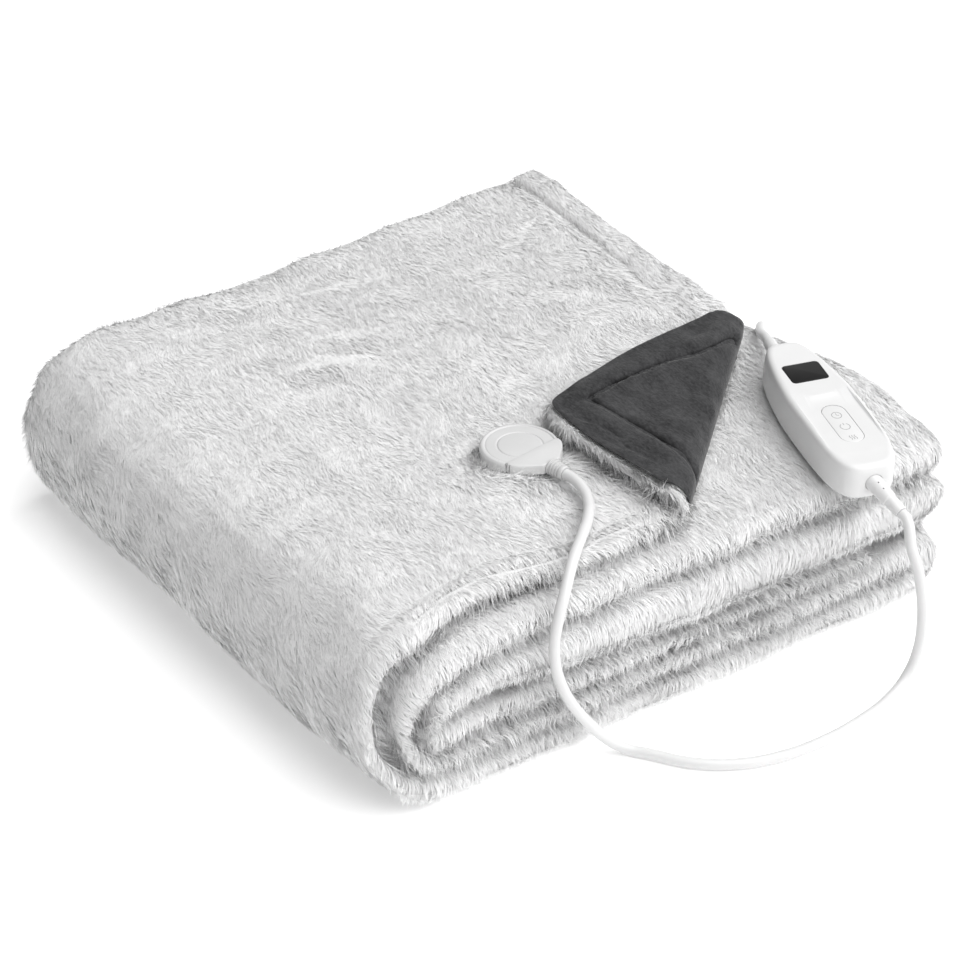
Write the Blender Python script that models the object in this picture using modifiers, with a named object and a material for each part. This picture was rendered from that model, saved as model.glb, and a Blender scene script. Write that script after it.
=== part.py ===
"""An electric heated throw, folded in layers, with a plug-in lead, a hand controller and a mains lead.

Lengths in the tables are millimetres; meshes are scaled to metres once, in finish_mesh.
+Z is up. X runs along the side that shows the layers, Y away from it. The origin is at the
centre of the footprint, on the surface that the throw lies on.
"""

import math

import bmesh
import bpy
import numpy as np
from mathutils import Matrix, Vector

MM = 0.001
GAP = 0.3
SEAT_GAP = 0.7

# ---------------------------------------------------------------- cloth sizes
STACK_HEIGHT = 120.0
KEYS_X = (-160.0, -115.0, -5.0, 100.0, 190.0)
# A row for each layer, top first: heights of its underside and its top at KEYS_X.
LAYERS = {
    "top": dict(low=(99.5, 105.5, 108.0, 117.0, 118.0), high=(119.5, 121.0, 123.0, 128.0, 129.5)),
    "second": dict(low=(78.5, 84.5, 87.5, 86.5, 85.0), high=(98.0, 104.0, 106.5, 115.5, 116.5)),
    "third": dict(low=(61.0, 58.0, 48.2, 48.2, 49.0), high=(77.0, 83.0, 86.0, 85.0, 83.0)),
    "fourth": dict(low=(32.5, 33.5, 34.5, 34.8, 35.0), high=(50.0, 54.0, 46.5, 46.2, 46.0)),
    "fifth": dict(low=(21.5, 20.0, 19.2, 19.2, 20.0), high=(31.0, 32.0, 33.0, 33.3, 33.5)),
    "bottom": dict(low=(0.0, 0.0, 0.0, 0.0, 0.0), high=(20.0, 18.5, 17.6, 17.6, 17.6)),
}
# A row for each layer: where its near and far hems lie, in Y.
HEMS = {
    "second": dict(near=-195.0, far=213.5),
    "third": dict(near=-197.0, far=215.0),
    "fourth": dict(near=-193.5, far=212.0),
    "fifth": dict(near=-195.5, far=214.0),
    "bottom": dict(near=-196.5, far=215.0),
}
TOP_NEAR_X = (-160.0, -110.0, -65.0, 8.0, 9.0)
TOP_NEAR_Y = (-182.0, -170.0, -185.0, -180.0, -180.0)
TOP_FAR_Y = 211.5
# The layers' heights are read at the Y that the top layer's hems give here.
GUIDE_X = 15.0
# A row for each bend on the left: how far its outer and inner faces reach past its root.
LEFT_ROOT = -160.0
LEFT_BENDS = {
    "outermost": dict(outer=57.0, inner=38.0),
    "nested": dict(outer=36.5, inner=16.0),
    "inmost": dict(outer=14.5, inner=3.5),
}
# The two bends on the right: lobes of the outer face, as centre, half height and reach.
BOTTOM_LOBE = dict(x=192.0, z=23.5, half=23.5, reach=24.5)
MIDDLE_LOBE = dict(x=190.0, z=65.8, half=17.5, reach=27.0)
UPPER_LOBE = dict(x=190.0, z=99.8, half=16.7, reach=22.5)
WAIST = (197.0, 82.5)
UPPER_SLIT_END = (183.0, 84.2)
LOWER_SLIT_END = (186.0, 18.6)
INNER_FREE_EDGE = 160.0

# The free edge of the top layer runs along the hem on the right, then along the crease of
# the turned-back corner.
CREASE_NEAR = np.array((8.5, -177.0))
CREASE_FAR = np.array((164.7, -38.8))
HEM_Y = (-38.8, -27.0, 0.0, 60.0, 130.0, 202.0)
HEM_X = (170.5, 183.5, 188.5, 189.5, 194.0, 198.0)
HEM_WIDTH = (30.0, 30.0, 29.0, 26.5, 24.0, 23.0)
# The sewn groove along each hem is this deep, and fades out over these ranges of Y and X.
STITCH_DEPTH = 2.6
SIDE_SEAM_FADE = (-40.0, 0.0)
NEAR_SEAM_FADE = (40.0, -10.0)

# The layers swell and sink a little, in waves along X and Y, most at the top of the stack.
SWELL = dict(high=1.3, x=52.0, y=61.0, x_phase=0.7, y_phase=0.4)
RIPPLE = dict(high=0.9, x=90.0, y=37.0)
# Under the controller the layers lie level: from these X and Y on.
LEVEL_X = (60.0, 110.0)
LEVEL_Y = (20.0, -40.0)

# The stack is lower and its left bends shorter towards the far side, as shares.
FAR_FALL = 0.055
FAR_FALL_Y = (0.0, 213.0)
LEFT_FAR_LOSS = 0.14
LEFT_FAR_Y = (120.0, 215.0)
# How far the upper fold on the right draws in, along Y.
RIGHT_DRAW_Y = (-195.0, -150.0, -100.0, -60.0, -30.0, 213.0)
RIGHT_DRAW_IN = (0.0, -6.0, -4.0, 2.0, 10.0, 12.0)

# The cloth under the controller slopes down to the near edge.
SLOPE = math.tan(math.radians(4.5))
SLOPE_START_Y = -86.0
SLOPE_FULL_X = (-5.0, 95.0)

# Distances of the cross-sections from the near and far hems with their share of the full
# thickness, more of them round the near hem's seam, and shares of the way between.
EDGE_STEPS = ((0.0, 0.35), (1.6, 0.66), (5.0, 0.88), (12.0, 1.0))
NEAR_EXTRA = (18.0, 21.0, 24.5)
NEAR_SEAM_ROW = len(EDGE_STEPS) + 1
BETWEEN = (0.1, 0.22, 0.34, 0.46, 0.58, 0.7, 0.82, 0.92)

# Where the cross-sections have their points: along a layer, from the free edge, round its seam.
ACROSS = (-120.0, -70.0, -10.0, 50.0, 110.0, 160.0)
ACROSS_FIFTH = (-120.0, -70.0, -10.0, 50.0, 110.0, 165.0)
EDGE_X = (0.0, 1.5, 5.0, 12.0)
SEAM_HALF = 4.0
SEAM_COLUMN = len(EDGE_X) + 1
TOP_LEFT_X = -150.0
# The near seam runs on round the first points of the outermost bend.
NEAR_SEAM_COLUMNS = slice(SEAM_COLUMN, SEAM_COLUMN + 11)
SLIT_ROUND = dict(x=0.8, z=0.7)
# The controller's weight lowers the upper fold by these shares, from its top round its outside.
SLOPE_SHARES = (1.0, 0.9, 0.6, 0.3, 0.1)

# ---------------------------------------------------------- turned-back corner
FLAP_GAP = 1.8
FLAP_THICK = 11.0
CREASE_REACH = 11.0
CREASE_INNER_REACH = 2.0
CREASE_LOW = 0.8
CREASE_ANGLES = (0, 36, 72, 108, 144, 180)
# The corner joins the top layer inside it: how far back, and how far below its faces.
FLAP_ROOT = (16.0, 8.0)
FLAP_ROOT_INSET = 3.0
FLAP_PARTS = (0.25, 0.5, 0.75, 0.93, 1.0)
FLAP_END_SHARES = (0.5, 0.9)
LINING_PARTS = (0.25, 0.5, 0.75, 1.0)
LINING_THICK = 1.2
LINING_SLOPE_CLEARANCE = 0.5
LINING_INSET = 4.0
# Along the crease: how far the corner reaches back from it.
FLAP_ALONG = (3.0, 13.8, 37.1, 58.0, 73.0, 80.0, 88.0, 118.0, 147.4, 174.3, 203.0)
FLAP_REACH = (7.0, 15.4, 51.8, 73.0, 88.0, 90.5, 86.5, 69.5, 51.2, 28.3, 7.0)

# ----------------------------------------------------------------- hard pieces
SOCKET_CENTRE = Vector((-26.0, -80.5))
# Radius and height, from the rim of the underside up, inwards over the groove.
SOCKET_PROFILE = ((22.6, 0.0), (24.0, 1.4), (24.0, 6.4), (23.0, 7.8), (21.6, 8.0), (20.6, 7.4), (14.0, 7.4),
                  (13.4, 7.9))
PLUG_DIRECTION = Vector((0.134, -0.991)).normalized()
# Half width of the flat plug at distances from the socket's centre.
PLUG_OUTLINE = (
    dict(along=9.0, half=14.0),
    dict(along=15.0, half=13.6),
    dict(along=20.0, half=11.4),
    dict(along=24.0, half=8.0),
    dict(along=26.5, half=6.2),
)
PLUG_FLOOR = 2.3
PLUG_TOP = 9.3
# The plug's outlines from its underside up, as shares of the widest one about its middle.
PLUG_LEVELS = (
    dict(z=PLUG_FLOOR, scale=0.94),
    dict(z=PLUG_FLOOR + 1.1, scale=1.0),
    dict(z=PLUG_TOP - 1.3, scale=1.0),
    dict(z=PLUG_TOP, scale=0.9),
)
PLUG_AXIS_HEIGHT = 5.4
PLUG_RELIEF_BASE = 4.6
PLUG_RELIEF_LENGTH = 11.4
PLUG_RELIEF_TIP = ((4.5, 8.8), (4.4, 10.4), (3.8, PLUG_RELIEF_LENGTH))
RIBS = dict(count=4, start=0.4, pitch=2.1, width=1.2, radius=5.3, taper=0.25, depth=0.8)

LEAD_DIAMETER = 6.6
LEAD_SPACING = 2.6 * LEAD_DIAMETER
LEAD_STRAIGHT = 5.0

CONTROLLER_CENTRE = Vector((146.0, -153.6))
CONTROLLER_HEADING = Vector((0.255, 0.967)).normalized()
CONTROLLER_LENGTH = 132.0
CONTROLLER_WIDTH = 45.0
CONTROLLER_HEIGHT = 25.0
CONTROLLER_SEAT = 1.2
OUTLINE_POWER = 3.4
UPPER_NARROWING = 0.2
LOWER_END_DROP = 0.07
# The housing's outlines from its underside up: how far each lies inside the widest one.
HOUSING_SECTIONS = (
    dict(z=0.0, inset=3.4),
    dict(z=0.9, inset=1.2),
    dict(z=2.8, inset=0.2),
    dict(z=9.0, inset=0.0),
    dict(z=19.0, inset=0.2),
    dict(z=22.6, inset=1.0),
    dict(z=24.4, inset=3.0),
    dict(z=CONTROLLER_HEIGHT, inset=6.0),
)
PANEL = dict(width=37.0, length=66.0, y=-26.0, radius=10.0, floor=22.6)
DISPLAY = dict(width=24.0, length=18.5, y=31.0, radius=2.4, floor=CONTROLLER_HEIGHT - 1.2,
               top=CONTROLLER_HEIGHT + 0.1)
KEYPAD = dict(width=15.0, length=38.0, y=-22.0, radius=7.2, floor=20.9, top=22.7)
CUTTER_TOP = CONTROLLER_HEIGHT + 5.0
# Radius and distance along each sleeve, from inside the housing out.
RELIEF_PROFILE = ((6.4, 0.0), (6.4, 4.6), (5.4, 5.4), (4.9, 17.0), (5.4, 18.0), (5.0, 22.0), (4.2, 28.0))
RELIEFS = (
    dict(name="lead_relief", side=-1.0, height=12.0, way=(0.05, -0.93, -0.36)),
    dict(name="mains_relief", side=1.0, height=11.0, way=(0.42, 0.90, -0.08)),
)
RELIEF_INSET = 3.0
RELIEF_SEAT_DEPTH = 6 * RELIEF_INSET

# The unseen length of the mains lead, coiled behind the throw.
SURFACE_Z = 0.4
COIL = dict(centre=Vector((96.0, 271.0)), radius=36.5, width=14.0, height=20.6, low=2.0, rounding=3.0)
TIE = dict(angle=90.0, width=8.0, thickness=1.1, slack=0.6, power=5.0)
# Angle round the coil, layer of turns, and side: -1 where the lead comes in, 1 where it leaves.
LEAD_IN = dict(angle=270.0, layer=0, side=-1.0)
LEAD_OUT = dict(angle=225.0, layer=2, side=1.0)
MAINS_PLUG = dict(place=(-24.0, 283.0), heading=(-1.0, 0.05), thickness=13.8)
PLUG_SECTIONS = (
    dict(along=0.0, half_width=6.4, half_height=5.4),
    dict(along=2.5, half_width=9.6, half_height=6.3),
    dict(along=8.0, half_width=12.0, half_height=6.9),
    dict(along=30.0, half_width=12.8, half_height=6.9),
    dict(along=34.0, half_width=12.6, half_height=6.8),
    dict(along=35.5, half_width=11.8, half_height=6.2),
)
PLUG_RELIEF_PROFILE = ((5.0, 0.0), (5.0, 3.0), (4.5, 4.0), (4.5, 7.0), (4.9, 8.0), (4.3, 16.0), (3.9, 22.0))
PLUG_POWER = 3.6
PIN = dict(radius=2.0, tip_radius=1.2, tip=1.2, length=19.0, spread=18.6)

# Hand-picked points of each lead, in order.
CONNECTOR_ROUTE = (
    (-21.4, -134.5, 128.0),
    (-26.4, -148.0, 127.4),
    (-37.0, -161.8, 127.2),
    (-51.0, -174.5, 127.0),
    (-67.0, -188.0, 124.9),
    (-80.5, -199.5, 117.0),
    (-88.5, -204.5, 105.0),
    (-92.5, -206.0, 90.0),
    (-92.5, -207.0, 74.0),
    (-88.0, -207.6, 57.0),
    (-80.0, -208.4, 40.0),
    (-70.0, -210.0, 24.5),
    (-60.0, -213.5, 11.5),
    (-51.0, -220.5, 4.6),
    (-41.6, -232.5, 3.9),
    (-27.8, -252.0, 3.9),
    (-8.8, -267.0, 3.9),
    (15.4, -276.5, 3.9),
    (46.5, -280.0, 3.9),
    (81.9, -277.0, 3.9),
    (108.0, -270.5, 4.2),
    (123.5, -266.5, 11.0),
    (130.5, -266.0, 25.0),
    (132.3, -265.8, 44.0),
    (131.5, -264.5, 63.0),
    (130.0, -261.0, 80.0),
    (128.5, -255.0, 94.0),
)
MAINS_ROUTE = (
    (182.5, -50.5, 121.2),
    (190.0, -41.5, 120.4),
    (197.4, -33.5, 116.4),
    (204.0, -25.0, 107.4),
    (207.0, -15.0, 95.0),
    (211.5, -4.0, 83.0),
    (216.5, 8.0, 69.0),
    (220.0, 20.0, 52.0),
    (222.0, 34.0, 34.0),
    (223.5, 49.0, 17.0),
    (225.0, 66.0, 6.5),
    (227.5, 86.0, 3.9),
    (231.5, 120.0, 3.9),
    (232.0, 150.0, 3.9),
    (230.5, 180.0, 3.9),
    (222.0, 206.0, 3.9),
    (204.0, 224.0, 3.9),
    (181.0, 232.0, 3.9),
    (156.0, 232.5, 4.2),
)
TAIL_ROUTE = (
    (40.0, 269.5, 14.2),
    (30.0, 277.0, 10.4),
    (19.0, 281.5, 7.8),
)


def hermite(keys, values, at):
    """A smooth curve through (keys, values), read at the positions given."""
    keys = np.asarray(keys, float)
    values = np.asarray(values, float)
    at = np.clip(np.asarray(at, float), keys[0], keys[-1])
    slopes = np.gradient(values, keys)
    i = np.clip(np.searchsorted(keys, at) - 1, 0, len(keys) - 2)
    step = keys[i + 1] - keys[i]
    t = (at - keys[i]) / step
    rise = values[i + 1] - values[i]
    start = slopes[i] * step
    end = slopes[i + 1] * step
    return values[i] + t * (start + t * (3 * rise - 2 * start - end + t * (start + end - 2 * rise)))


def ease(low, high, at):
    t = min(max((at - low) / (high - low), 0.0), 1.0)
    return t * t * (3.0 - 2.0 * t)


def settle(x, y, z):
    """The height z after the stack's own unevenness, which grows with height."""
    swell = math.sin(x / SWELL["x"] + SWELL["x_phase"]) * math.cos(y / SWELL["y"] - SWELL["y_phase"])
    ripple = math.sin(x / RIPPLE["x"] + y / RIPPLE["y"])
    uneven = (SWELL["high"] * swell + RIPPLE["high"] * ripple) * (1.0 - ease(*LEVEL_X, x) * ease(*LEVEL_Y, y))
    return z * (1.0 + uneven / STACK_HEIGHT) * (1.0 - FAR_FALL * ease(*FAR_FALL_Y, y))


def layer_z(layer, face, x, y):
    """Height of a layer's underside or top."""
    z = float(hermite(KEYS_X, LAYERS[layer][face], x))
    if layer == "second" and face == "high" and y < SLOPE_START_Y:
        z -= (SLOPE_START_Y - y) * SLOPE * ease(*SLOPE_FULL_X, x)
    return settle(x, y, z)


def free_edge_x(y):
    """Where the top layer ends on the right."""
    if y > CREASE_FAR[1]:
        return float(hermite(HEM_Y, HEM_X, y))
    share = (y - CREASE_NEAR[1]) / (CREASE_FAR[1] - CREASE_NEAR[1])
    return float(CREASE_NEAR[0] + max(share, 0.0) * (CREASE_FAR[0] - CREASE_NEAR[0]))


def hem_width(y):
    return float(hermite(HEM_Y, HEM_WIDTH, y))


def arc(x, z, half, reach, angles):
    """Points of a half ellipse about (x, z), angles from its top down; a negative reach bulges left."""
    return [(x + reach * math.sin(a), z + half * math.cos(a)) for a in np.radians(angles)]


def run(y, layer, xs, first, second):
    """Pairs of points along one layer at y, each pair with its layer's name."""
    return [(layer, (x, layer_z(layer, first, x, y)), (x, layer_z(layer, second, x, y))) for x in xs]


def left_bend(y, name, upper, lower, count):
    """The bend that joins two layers on the left: pairs of its outer and inner points, top first."""
    kept = 1.0 - LEFT_FAR_LOSS * ease(*LEFT_FAR_Y, y)
    angles = np.linspace(0.0, 180.0, count)
    faces = []
    for side, top_face, low_face in (("outer", "high", "low"), ("inner", "low", "high")):
        top = layer_z(upper, top_face, LEFT_ROOT, y)
        low = layer_z(lower, low_face, LEFT_ROOT, y)
        faces.append(arc(LEFT_ROOT, (top + low) / 2, (top - low) / 2, -kept * LEFT_BENDS[name][side], angles))
    return [(upper if a < 90.0 else lower, p, q) for a, p, q in zip(angles, *faces)]


def bottom_bend(y):
    """The lowest bend on the right: pairs of its outer and slit points, from the bottom up."""
    outer = arc(**BOTTOM_LOBE, angles=np.linspace(180.0, 8.0, 7))
    x, z = LOWER_SLIT_END
    slit = arc(x, z, -SLIT_ROUND["z"], SLIT_ROUND["x"], np.linspace(0.0, 180.0, 7))
    names = ["bottom"] * 4 + ["fifth"] * 3
    return [(n, (p[0], settle(p[0], y, p[1])), (q[0], settle(q[0], y, q[1])))
            for n, p, q in zip(names, outer, slit)]


def upper_bend(y):
    """The bend that joins the second and third layers: pairs of slit and outer points, top first."""
    upper = arc(**UPPER_LOBE, angles=np.linspace(0.0, 128.0, 5))
    middle = arc(**MIDDLE_LOBE, angles=np.linspace(52.0, 180.0, 6))
    outer = [*upper, WAIST, *middle]
    x, z = UPPER_SLIT_END
    slit = arc(x, z, SLIT_ROUND["z"], SLIT_ROUND["x"], np.linspace(0.0, 180.0, len(outer)))
    half = len(outer) // 2
    names = ["second"] * half + ["third"] * half
    rest = len(outer) - len(upper)
    drop = max(SLOPE_START_Y - y, 0.0) * SLOPE
    drops = [drop * share for share in SLOPE_SHARES] + [0.0] * rest
    drawn = float(hermite(RIGHT_DRAW_Y, RIGHT_DRAW_IN, y))
    pulls = [drawn] * len(upper) + [drawn / 2] * rest
    return [(n, (q[0] - drawn / 2, settle(q[0], y, q[1])), (p[0] - pull, settle(p[0], y, p[1]) - down))
            for n, p, q, pull, down in zip(names, outer, slit, pulls, drops)]


def fold_path(y):
    """The cross-section at y, as pairs of points on the two faces of the cloth, from the free
    hem on the right, through the layers, to the end inside. Each pair has its layer's name."""
    edge, seam = free_edge_x(y), free_edge_x(y) - hem_width(y)
    top_xs = [edge - d for d in EDGE_X] + [seam + SEAM_HALF, seam, seam - SEAM_HALF]
    top_xs += list(np.linspace(seam - SEAM_HALF, TOP_LEFT_X, 6)[1:])
    inner_xs = [*ACROSS[:-1], INNER_FREE_EDGE - 6, INNER_FREE_EDGE - 2, INNER_FREE_EDGE]
    nested = left_bend(y, "nested", "second", "fifth", 8)
    return [
        *run(y, "top", top_xs, "high", "low"),
        *left_bend(y, "outermost", "top", "bottom", 9),
        *run(y, "bottom", ACROSS, "low", "high"),
        *bottom_bend(y),
        *run(y, "fifth", ACROSS_FIFTH[::-1], "high", "low"),
        *[(name, inner, outer) for name, outer, inner in reversed(nested)],
        *run(y, "second", ACROSS, "low", "high"),
        *upper_bend(y),
        *run(y, "third", ACROSS[::-1], "high", "low"),
        *left_bend(y, "inmost", "third", "fourth", 7),
        *run(y, "fourth", inner_xs, "low", "high"),
    ]


def near_hem(layer, x):
    if layer == "top":
        return float(hermite(TOP_NEAR_X, TOP_NEAR_Y, x))
    return HEMS[layer]["near"]


def far_hem(layer):
    return TOP_FAR_Y if layer == "top" else HEMS[layer]["far"]


def smoothed(values, rounds=2):
    """Eases the steps between neighbours, so that hems run on round a bend."""
    values = np.array(values, float)
    for _ in range(rounds):
        values[1:-1] = (values[:-2] + 2 * values[1:-1] + values[2:]) / 4
    return values


def stations():
    """Rules that give a cross-section's Y from the near and far hems, with its share of thickness."""
    rules = [(lambda near, far, d=d: near + d, k) for d, k in EDGE_STEPS]
    rules += [(lambda near, far, d=d: near + d, 1.0) for d in NEAR_EXTRA]
    start, end = NEAR_EXTRA[-1], EDGE_STEPS[-1][0]
    rules += [(lambda near, far, f=f: near + start + f * (far - end - near - start), 1.0) for f in BETWEEN]
    return rules + [(lambda near, far, d=d: far - d, k) for d, k in reversed(EDGE_STEPS)]


def throw_faces():
    """The two faces of the folded cloth, as grids of points: cross-sections by pairs."""
    first, second = [], []
    for index, (place, station_share) in enumerate(stations()):
        guide = place(near_hem("top", GUIDE_X), far_hem("top"))
        pairs = fold_path(guide)
        nears = smoothed([near_hem(layer, p[0]) for layer, p, _ in pairs])
        fars = smoothed([far_hem(layer) for layer, _, _ in pairs])
        shares = np.full(len(pairs), station_share)
        for step, (_, end_share) in enumerate(EDGE_STEPS[:-1]):
            for column in (step, -1 - step):
                shares[column] = min(shares[column], end_share)
        rows = ([], [])
        for (layer, p, q), near, far, share in zip(pairs, nears, fars, shares):
            y = place(near, far)
            middle = ((p[0] + q[0]) / 2, (p[1] + q[1]) / 2)
            for row, point in zip(rows, (p, q)):
                x = middle[0] + (point[0] - middle[0]) * share
                z = middle[1] + (point[1] - middle[1]) * share
                row.append(Vector((x, y, z)))
        rows[0][SEAM_COLUMN].z -= STITCH_DEPTH * ease(*SIDE_SEAM_FADE, guide)
        if index == NEAR_SEAM_ROW:
            for point in rows[0][NEAR_SEAM_COLUMNS]:
                point.z -= STITCH_DEPTH * ease(*NEAR_SEAM_FADE, point.x)
        first.append(rows[0])
        second.append(rows[1])
    return first, second


def grid_solid(first, second):
    """A closed mesh between two grids of points, its rims closed by strips."""
    mesh = bmesh.new()
    grids = [[[mesh.verts.new(p) for p in row] for row in grid] for grid in (first, second)]
    rows, columns = len(first), len(first[0])
    for grid in grids:
        for i in range(rows - 1):
            for j in range(columns - 1):
                mesh.faces.new((grid[i][j], grid[i + 1][j], grid[i + 1][j + 1], grid[i][j + 1]))
    rim = [(0, j) for j in range(columns)] + [(i, columns - 1) for i in range(1, rows)]
    rim += [(rows - 1, j) for j in range(columns - 2, -1, -1)] + [(i, 0) for i in range(rows - 2, 0, -1)]
    for (i, j), (k, m) in zip(rim, rim[1:] + rim[:1]):
        mesh.faces.new((grids[0][i][j], grids[0][k][m], grids[1][k][m], grids[1][i][j]))
    bmesh.ops.recalc_face_normals(mesh, faces=mesh.faces)
    return mesh


def corner_point(along, back):
    """A point of the plan, along the crease and back from it over the top layer."""
    direction = (CREASE_FAR - CREASE_NEAR) / np.linalg.norm(CREASE_FAR - CREASE_NEAR)
    outward = np.array((direction[1], -direction[0]))
    return CREASE_NEAR + along * direction - back * outward


def corner_outer(along, back, lift=0.0):
    """The lining side of the turned-back corner at rest on the top layer."""
    x, y = corner_point(along, back)
    top = layer_z("top", "high", x, y)
    return Vector((x, y, top + FLAP_GAP + FLAP_THICK + lift))


def corner_bend(along, angle, reach, lower, upper):
    """A point of the crease's half-round, from its lower end at 0 degrees to its upper end at 180."""
    x, y = corner_point(along, -reach * math.sin(math.radians(angle)))
    middle, half = (lower + upper) / 2, (upper - lower) / 2
    return Vector((x, y, middle - half * math.cos(math.radians(angle))))


def crease_heights(along):
    x, y = corner_point(along, 0.0)
    return layer_z("top", "low", x, y), layer_z("top", "high", x, y)


def turned_corner_faces():
    """The two faces of the corner: a root inside the top layer, the crease and the turned cloth."""
    outer, inner = [], []
    last = len(FLAP_ALONG) - 1
    for index, (along, reach) in enumerate(zip(FLAP_ALONG, FLAP_REACH)):
        from_end = min(index, last - index)
        share = FLAP_END_SHARES[from_end] if from_end < len(FLAP_END_SHARES) else 1.0
        low, high = crease_heights(along)
        row_out, row_in = [], []
        for back in FLAP_ROOT:
            x, y = corner_point(along, back)
            row_out.append(Vector((x, y, layer_z("top", "low", x, y) + FLAP_ROOT_INSET)))
            row_in.append(Vector((x, y, layer_z("top", "high", x, y) - FLAP_ROOT_INSET)))
        under = high + FLAP_GAP
        for angle in CREASE_ANGLES:
            row_out.append(corner_bend(along, angle, CREASE_REACH, low + CREASE_LOW, under + FLAP_THICK))
            row_in.append(corner_bend(along, angle, CREASE_INNER_REACH, high - FLAP_ROOT_INSET, under))
        for part in FLAP_PARTS:
            upper = corner_outer(along, part * reach)
            lower = upper - Vector((0.0, 0.0, FLAP_THICK))
            middle = (upper + lower) / 2
            rounding = FLAP_END_SHARES[0] if part == FLAP_PARTS[-1] else share
            row_out.append(middle + (upper - middle) * rounding)
            row_in.append(middle + (lower - middle) * rounding)
        outer.append(row_out)
        inner.append(row_in)
    return outer, inner


def lining_rows():
    """The underside of the panel on the turned-back corner, round its crease."""
    lift = GAP + LINING_SLOPE_CLEARANCE
    alongs = (FLAP_ALONG[0] + LINING_INSET, *FLAP_ALONG[1:-1], FLAP_ALONG[-1] - LINING_INSET)
    rows = []
    for along, reach in zip(alongs, np.interp(alongs, FLAP_ALONG, FLAP_REACH)):
        low, high = crease_heights(along)
        bottom = low + CREASE_LOW - lift
        top = high + FLAP_GAP + FLAP_THICK + lift
        row = [corner_bend(along, angle, CREASE_REACH + lift, bottom, top) for angle in CREASE_ANGLES[1:]]
        row += [corner_outer(along, part * (reach - LINING_INSET), lift) for part in LINING_PARTS]
        rows.append(row)
    return rows


# ------------------------------------------------------------- scene helpers
def clear_scene():
    for item in list(bpy.data.objects):
        bpy.data.objects.remove(item, do_unlink=True)


def new_collection(name):
    collection = bpy.data.collections.new(name)
    bpy.context.scene.collection.children.link(collection)
    return collection


def new_material(name, colour, roughness):
    material = bpy.data.materials.new(name)
    material.use_nodes = True
    shader = material.node_tree.nodes["Principled BSDF"]
    shader.inputs["Base Color"].default_value = (*colour, 1.0)
    shader.inputs["Roughness"].default_value = roughness
    shader.inputs["Metallic"].default_value = 0.0
    return material


def finish_mesh(name, mesh, collection, material=None, parent=None):
    """Turns a bmesh in millimetres into an object in metres."""
    mesh.transform(Matrix.Scale(MM, 4))
    data = bpy.data.meshes.new(name)
    mesh.to_mesh(data)
    mesh.free()
    data.shade_smooth()
    data.set_sharp_from_angle(angle=math.radians(35.0))
    item = bpy.data.objects.new(name, data)
    item.parent = parent
    if material:
        data.materials.append(material)
    collection.objects.link(item)
    return item


def new_frame(name, collection, origin, heading, up=Vector((0.0, 0.0, 1.0))):
    """An empty at origin, its Y along heading and its Z as near up as it can be."""
    y_axis = heading.normalized()
    x_axis = y_axis.cross(up).normalized()
    turn = Matrix((x_axis, y_axis, x_axis.cross(y_axis))).transposed().to_4x4()
    frame = bpy.data.objects.new(name, None)
    frame.matrix_world = Matrix.Translation(origin * MM) @ turn
    collection.objects.link(frame)
    return frame


def boolean(item, cutter, operation):
    cutter.hide_render = True
    cutter.display_type = "WIRE"
    modifier = item.modifiers.new(f"{operation.lower()}_{cutter.name}", "BOOLEAN")
    modifier.operation = operation
    modifier.object = cutter


def loft(rings, close_end=None):
    """A closed mesh through rings of equal count, its ends one face each unless close_end makes them."""
    mesh = bmesh.new()
    loops = [[mesh.verts.new(p) for p in ring] for ring in rings]
    count = len(rings[0])
    for lower, upper in zip(loops, loops[1:]):
        for j in range(count):
            mesh.faces.new((lower[j], lower[(j + 1) % count], upper[(j + 1) % count], upper[j]))
    for loop in (loops[0], loops[-1]):
        if close_end:
            close_end(mesh, loop)
        else:
            mesh.faces.new(loop)
    bmesh.ops.recalc_face_normals(mesh, faces=mesh.faces)
    return mesh


def close_across(mesh, loop):
    """Closes a loop that is the same left and right with strips across it, each of them flat."""
    half = len(loop) // 2
    for step in range(half):
        right = step - half // 2
        corners = [loop[i % len(loop)] for i in (right, right + 1, half - right - 1, half - right)]
        mesh.faces.new(list(dict.fromkeys(corners)))


def open_surface(rows):
    """A surface through rows of points."""
    mesh = bmesh.new()
    grid = [[mesh.verts.new(p) for p in row] for row in rows]
    for this, other in zip(grid, grid[1:]):
        for j in range(len(this) - 1):
            mesh.faces.new((this[j], other[j], other[j + 1], this[j + 1]))
    return mesh


def add_solidify(item, thickness, offset):
    modifier = item.modifiers.new("thickness", "SOLIDIFY")
    modifier.thickness = thickness * MM
    modifier.offset = offset


def add_turned(name, profile, collection, material, parent=None, steps=20):
    """A solid turned about its own Z, from (radius, height) rows, base first."""
    rows = [(0.0, profile[0][1]), *profile, (0.0, profile[-1][1])]
    mesh = bmesh.new()
    verts = [mesh.verts.new((radius, 0.0, height)) for radius, height in reversed(rows)]
    for a, b in zip(verts, verts[1:]):
        mesh.edges.new((a, b))
    item = finish_mesh(name, mesh, collection, material, parent)
    add_screw(item, steps)
    return item


def add_screw(item, steps):
    modifier = item.modifiers.new("turn", "SCREW")
    modifier.steps = steps
    modifier.render_steps = steps
    modifier.use_merge_vertices = True
    modifier.merge_threshold = 0.00001
    modifier.use_smooth_shade = True


def rounded_block(width, length, low, high, y, radius):
    """A block with rounded upright edges, centred on X at y, between two heights."""
    mesh = bmesh.new()
    bmesh.ops.create_cube(mesh, size=1.0)
    bmesh.ops.scale(mesh, vec=(width, length, high - low), verts=mesh.verts)
    upright = [e for e in mesh.edges if abs(e.verts[0].co.z - e.verts[1].co.z) > 0.5 * (high - low)]
    bmesh.ops.bevel(mesh, geom=upright, offset=radius, segments=6, profile=0.5, affect="EDGES")
    bmesh.ops.translate(mesh, vec=(0.0, y, (low + high) / 2), verts=mesh.verts)
    return mesh


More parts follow.
